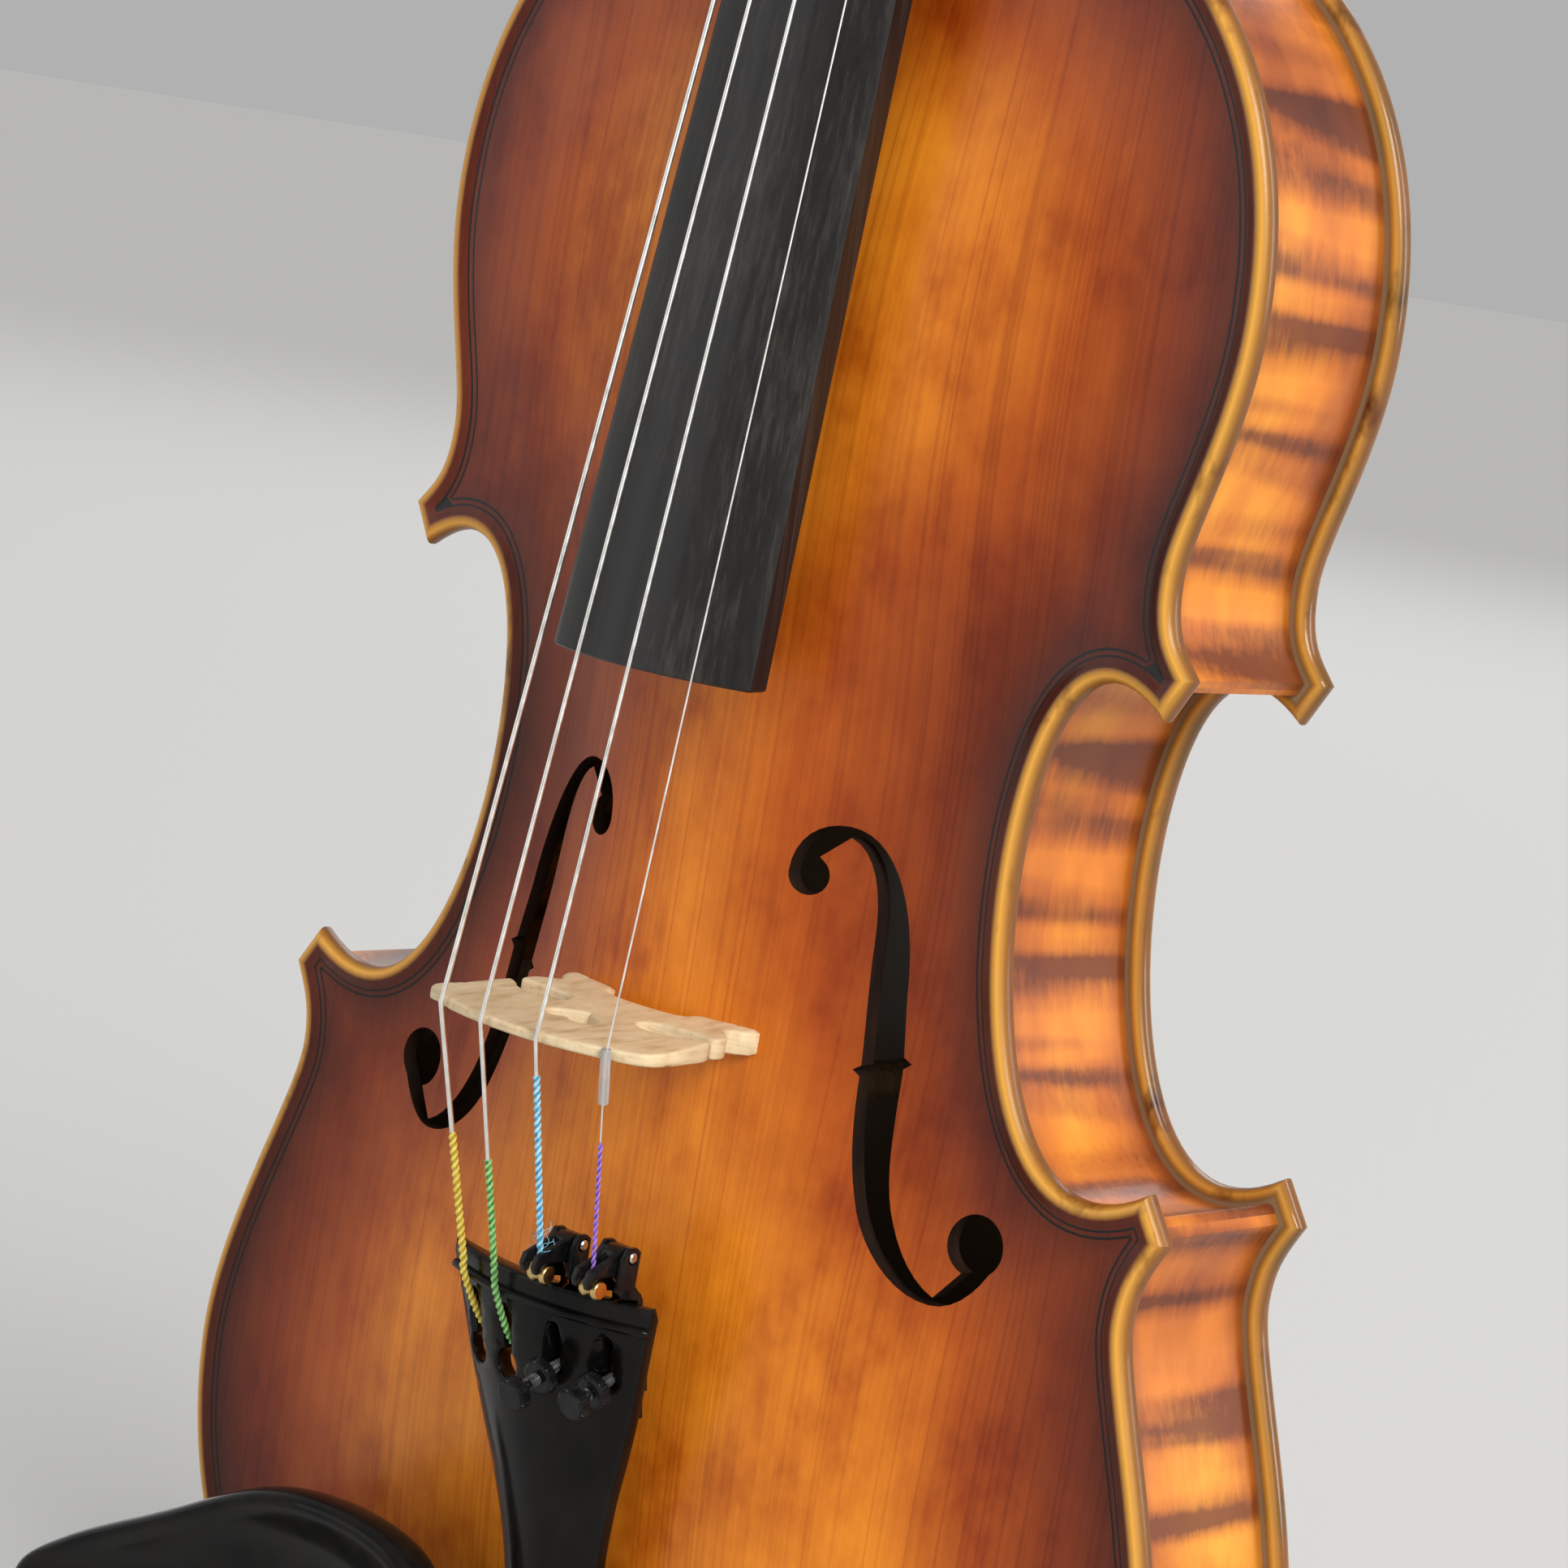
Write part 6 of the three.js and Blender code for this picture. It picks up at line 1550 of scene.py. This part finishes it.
def make_pegs():
    for name, (y, z, side, coil) in PEGS.items():
        body = f"peg_{name}_group"
        shank = lathe_parts(PEG_SHANK, (0, y, z), (side, 0, 0), 32)
        bead = lathe_parts(PEG_BEAD, (side * PEG_BEAD_X, y, z), (side, 0, 0), 20)
        add_piece(f"ebony_peg_{name}", merged(shank, peg_grip(y, z, side), bead), "ebony",
                  f"peg_{name}", body, 45)
        radius = STRING_RADIUS[name]
        add_piece(f"coil_{name}", tube_parts(coil_route(y, z, coil, radius), radius, 8), "string",
                  f"winding_{name}", body, 60)


def string_route(name):
    y, z, _, coil = PEGS[name]
    r = STRING_RADIUS[name]
    bx, by = STRING_AT_BRIDGE[name]
    tx = TAIL_STRING_X[name]
    if name in ("g", "d"):
        over = tail_surface(tx, FRET_Z) - 1.35 - 0.05 - r
        low = [(tx + slot_lean(tx) * (a - BALL_Z), tail_surface(tx, b) + rise, a)
               for a, b, rise in ((116, 116, 3.6), (119.4, 120, 0.9))]
        start = smooth_route([*low, (tx, over, FRET_Z), (tx, over - 0.9, FRET_Z + 3)], 6)[:-1]
    else:
        start = [Vector((tx, TUNERS[name][0] - 0.3, BALL_Z + 1.0))]
    nx = STRING_AT_NUT[name]
    top = y - COIL_CORE - 2 * r
    end = [(nx, NUT_STRING_Y, NUT_Z + 1), (nx, NUT_STRING_Y + 0.25, NUT_Z + 2.6),
           (mix(nx, coil, 0.3), mix(NUT_STRING_Y + 3, top, 0.25), NUT_Z + NUT_LENGTH + 2.5),
           (coil, top, z - 0.5), (coil, top + 0.4, z + 1.6)]
    return start, Vector((bx, by, STRING_KINK_Z)), [Vector(p) for p in end]


def make_strings():
    for name in STRING_NAMES:
        start, kink, end = string_route(name)
        first, last = Vector(start[-1]), end[0]
        before = [first.lerp(kink, i / 12) for i in range(1, 12)]
        after = [kink.lerp(last, i / 60) for i in range(1, 60)]
        route = [*start, *before, kink, *after, *end]
        add_piece(f"wound_string_{name}", tube_parts(route, STRING_RADIUS[name], 12), "string",
                  f"string_{name}", smooth_angle=60)
        make_silk(name, start, kink)


SILK = {                   # whether it starts in the tailpiece, and its end as a share of the way to the bridge
    "g": (True, 0.50), "d": (True, 0.46), "a": (False, 0.84), "e": (False, 0.62),
}
SILK_THICK = 0.13
SILK_RELIEF = 0.11
SILK_TWIST = 5.0           # radians for each millimetre, on two strands


def make_silk(name, start, kink):
    """Two strands of thread wound round the string's end."""
    from_slot, high = SILK[name]
    first = Vector(start[-1])
    line = [Vector(p) for p in start[:-1]] if from_slot else []
    line += [first.lerp(kink, high * i / 90) for i in range(91)]
    radius = STRING_RADIUS[name] + SILK_THICK
    twist = []

    def section(angle, travelled):
        wave = math.cos(2 * angle - travelled * SILK_TWIST)
        twist.append(wave)
        return radius + SILK_RELIEF * wave

    points, faces = tube_parts(dense_route(line, 0.2), radius, 12, section)
    mesh = mesh_from(f"silk_wrap_{name}", points, faces)
    # the relief wave is kept for the silk's painted shade in the grooves and painted highlight on the turns
    set_attribute(mesh, "twist", twist + [0.0] * (len(mesh.vertices) - len(twist)))
    piece = finish_object(f"silk_wrap_{name}", mesh, [MATERIAL[f"silk_{name}"]], smooth_angle=60)


FIBRES = 9


def make_fibres():
    """Loose threads that curl away from the frayed end of the A silk."""
    start, kink, _ = string_route("a")
    first = Vector(start[-1])
    strands = []
    for i in range(FIBRES):
        root = first.lerp(kink, 0.045 + 0.012 * i)
        heading = 2.4 * i
        curl = []
        for k in range(9):
            t = k / 8
            reach = 0.4 + (1.5 + 0.5 * math.sin(3.1 * i)) * math.sin(1.9 * t)
            bend = heading + (1.6 - 0.5 * math.cos(2.3 * i)) * t
            curl.append(root + Vector((reach * math.cos(bend), reach * math.sin(bend),
                                       (1.6 + math.cos(1.7 * i)) * t)))
        strands.append(tube_parts(smooth_route(curl, 3), 0.05, 5))
    add_piece("silk_fibres", merged(*strands), "silk_a", smooth_angle=60)


def make_sleeve():
    """The clear tube that keeps the thin E string from cutting into the bridge."""
    start = Vector((TAIL_STRING_X["e"], TUNERS["e"][0], BALL_Z))
    kink = Vector((*STRING_AT_BRIDGE["e"], STRING_KINK_Z))
    profile = ((0.3, -1.1), (0.75, -1.1), (0.85, -0.9), (0.85, 7.6), (0.75, 7.8), (0.3, 7.8))
    add_lathe("clear_sleeve", profile, kink, (start - kink).normalized(), "clear",
              "e_string_sleeve", sides=24)


# ------------------------------------------------------------------ string adjusters

def screw_frame(name):
    x = TAIL_STRING_X[name]
    foot_x = x + slot_lean(x) * (TUNER_Z - BALL_Z)
    foot = Vector((0, tail_surface(foot_x, TUNER_Z), TUNER_Z - BALL_Z))
    along = Vector((0, -math.cos(TUNER_TILT), -math.sin(TUNER_TILT)))
    turn = Matrix.Rotation(slot_lean(x), 3, "Y")
    shift = Vector((x, 0, BALL_Z))
    return turn @ foot + shift, turn @ along


PIVOT_HALF = ((0.01, 3.25), (0.6, 3.25), (0.85, 3.05))
REEL_HALF = ((0.5, 1.75), (1.3, 1.75), (1.5, 1.55), (1.6, 1.0), (1.3, 0.6), (1.15, 0.4))
NUT_PROFILE = ((1.2, 1.5), (2.4, 1.5), (2.9, 1.8), (3.0, 2.0), (3.0, 3.1), (2.9, 3.3), (2.4, 3.6), (1.2, 3.6))
HEAD_PROFILE = (           # radius, height over the screw's end
    (0.01, -0.2), (2.3, 0), (2.7, 0.3), (2.8, 0.5), (2.8, 1.8), (2.65, 2.05), (2.3, 2.3), (0.6, 2.3),
    (0.01, 2.3),
)
THREAD_STEP = 0.25         # from a crest to the next groove
THREAD_RADII = (0.93, 1.1)
NECK_RADIUS = 0.8
KNURL_SIDES = 104


def knurl(radius, j):
    """Flat-topped ridges round the rim: two steps proud, two steps cut in."""
    return 0.0 if radius < 2.6 else (0.08 if j % 4 < 2 else -0.2)


def thread_profile(tip, out):
    """The screw from its tip, through its threads, to the thin neck under its head."""
    profile = [(0.01, -tip)]
    count = int((out + tip - 1.6) / THREAD_STEP)
    for i in range(count):
        profile.append((THREAD_RADII[i % 2], -tip + THREAD_STEP * i))
    neck = -tip + THREAD_STEP * count
    return profile + [(NECK_RADIUS, neck), (NECK_RADIUS, out - 0.1), (0.01, out - 0.1)]


def make_adjusters():
    for name in ("a", "e"):
        ball, pin_y, pin_z, out = TUNERS[name]
        x = TAIL_STRING_X[name]
        foot, along = screw_frame(name)
        copy_node(f"tuner_bracket_{name}", f"adjuster_bracket_{name}", "blackmetal",
                  width=0.22)
        copy_node(f"tuner_lever_{name}", f"adjuster_lever_{name}_piece", "blackmetal",
                  f"adjuster_lever_{name}", width=0.22)
        add_lathe(f"pivot_{name}", mirrored(PIVOT_HALF), (x, pin_y, pin_z), (1, 0, 0), "steel",
                  f"tuner_pin_{name}", sides=24)
        add_lathe(f"string_ball_{name}", mirrored(REEL_HALF), (x, ball, BALL_Z), (1, 0, 0), "brass",
                  f"ball_end_{name}", f"adjuster_lever_{name}", sides=32)
        under_y = tail_under(x + 3.1, TUNER_Z)
        tip = (under_y + 1.9 - foot.y) / math.cos(TUNER_TILT)
        add_lathe(f"thumb_screw_{name}", thread_profile(tip, out), foot, along, "darksteel",
                  f"tuner_screw_{name}", f"adjuster_screw_{name}", sides=20, smooth_angle=20)
        add_lathe(f"knurled_nut_{name}", NUT_PROFILE, foot, along, "blackmetal",
                  f"tuner_nut_{name}", sides=KNURL_SIDES, ripple=knurl, smooth_angle=20)
        head = [(radius, out + height) for radius, height in HEAD_PROFILE]
        add_lathe(f"knurled_head_{name}", head, foot, along, "blackmetal",
                  f"tuner_head_{name}", f"adjuster_head_{name}", sides=KNURL_SIDES, ripple=knurl,
                  smooth_angle=20)


# ------------------------------------------------------------------ chinrest

CUP = ((-14.5, 60), (-17.5, 71), (-25, 77.3), (-40, 79.5), (-58, 76.8), (-80, 65.8), (-101, 55), (-112, 46),
       (-110, 34), (-94, 24), (-66, 17), (-40, 15), (-23, 18), (-16, 32), (-14.2, 46))
CUP_CENTRE = (-58, 48)
CUP_RIM_Y = -49
CUP_SECTIONS = (           # scale of the outline, drop below the rim
    (0.62, 13.4), (0.9, 8.4), (0.97, 7.4), (0.995, 6), (1, 4.8), (0.998, 3), (0.985, 1.4), (0.968, 0.4),
    (0.95, 0), (0.925, 0.05), (0.9, 0.5), (0.82, 2.3), (0.74, 4.4), (0.62, 6.3), (0.5, 7.6), (0.35, 8.6),
    (0.2, 9),
)
CLAMP_AT = Vector((-44, 0, 15.6))
CLAMP_TURN = 0.23


CUP_SLANT = 0.03           # how much the rim falls for each millimetre along x
FOOT_CORNERS = ((-15, -8), (15, -8), (15, 9), (-15, 9))
FOOT_SECTIONS = ((-22.4, 0.4), (-22.8, 0), (-31.4, 0), (-36, 0.3), (-40, 1.5))  # y, inset of the sides
BARREL_HALF = ((1.8, 11), (2.6, 11), (3.1, 10.6), (3.3, 10.2), (3.3, 2.4), (3.0, 2.1), (3.0, 1.8), (3.3, 1.5))
BARREL_PLACES = (("left", -11), ("right", 11))
BARREL_Z = -4.6


def make_chinrest():
    closed = [(x, 0, z) for x, z in CUP]
    ringed = smooth_route([closed[-1], *closed, closed[0], closed[1]], 9)
    base = ringed[9:-9]
    rings = []
    for scale, drop in CUP_SECTIONS:
        ring = []
        for p in base[:-1]:
            x = mix(CUP_CENTRE[0], p.x, scale)
            z = mix(CUP_CENTRE[1], p.z, scale)
            ring.append((x, CUP_RIM_Y + drop + CUP_SLANT * (x - CUP_CENTRE[0]), z))
        rings.append(ring)
    turn = Matrix.Rotation(CLAMP_TURN, 3, "Y")
    foot = []
    for y, inset in FOOT_SECTIONS:
        ring = []
        for x, z in FOOT_CORNERS:
            low = max(z, 1.2) if y > -31.5 else z
            ring.append(tuple(turn @ Vector((x - math.copysign(inset, x), y, low)) + CLAMP_AT))
        foot.append(ring)
    add_piece("chin_cup", merged(loft_parts(rings), loft_parts(foot)), "gloss",
              "chinrest_cup", smooth_angle=40)
    copy_node("chinrest_pad", "cork_pad_upper", "cork", width=0.3)
    copy_node("clamp_pad", "cork_pad_lower", "cork", "clamp_jaw", width=0.3)
    copy_node("clamp_upper", "clamp_plate_upper", "steel", width=0.35)
    copy_node("clamp_lower", "clamp_plate_lower", "steel", "clamp_jaw", width=0.35)
    for side, x in BARREL_PLACES:
        place = turn @ Vector((x, 0, BARREL_Z)) + CLAMP_AT
        add_lathe(f"barrel_{side}", mirrored(BARREL_HALF), place, (0, 1, 0), "steel",
                  f"clamp_barrel_{side}", f"clamp_barrel_{side}", sides=36)


# ------------------------------------------------------------------ inner parts

def make_inner_parts():
    """The blocks, bar and post keep their CAD shape and take their bare woods."""
    for name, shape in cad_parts.items():
        if name.startswith("corner_block"):
            wood = "willow"
        elif name in ("lower_block", "upper_block", "bass_bar", "sound_post"):
            wood = "spruce"
        else:
            continue
        shape.data.materials.clear()
        shape.data.materials.append(MATERIAL[wood])


make_plates()
make_ribs()
make_neck()
make_board()
make_bridge()
make_tailpiece()
make_lower_end()
make_pegs()
make_strings()
make_fibres()
make_sleeve()
make_adjusters()
make_chinrest()
make_inner_parts()
add_camera()
add_studio()
add_floor()
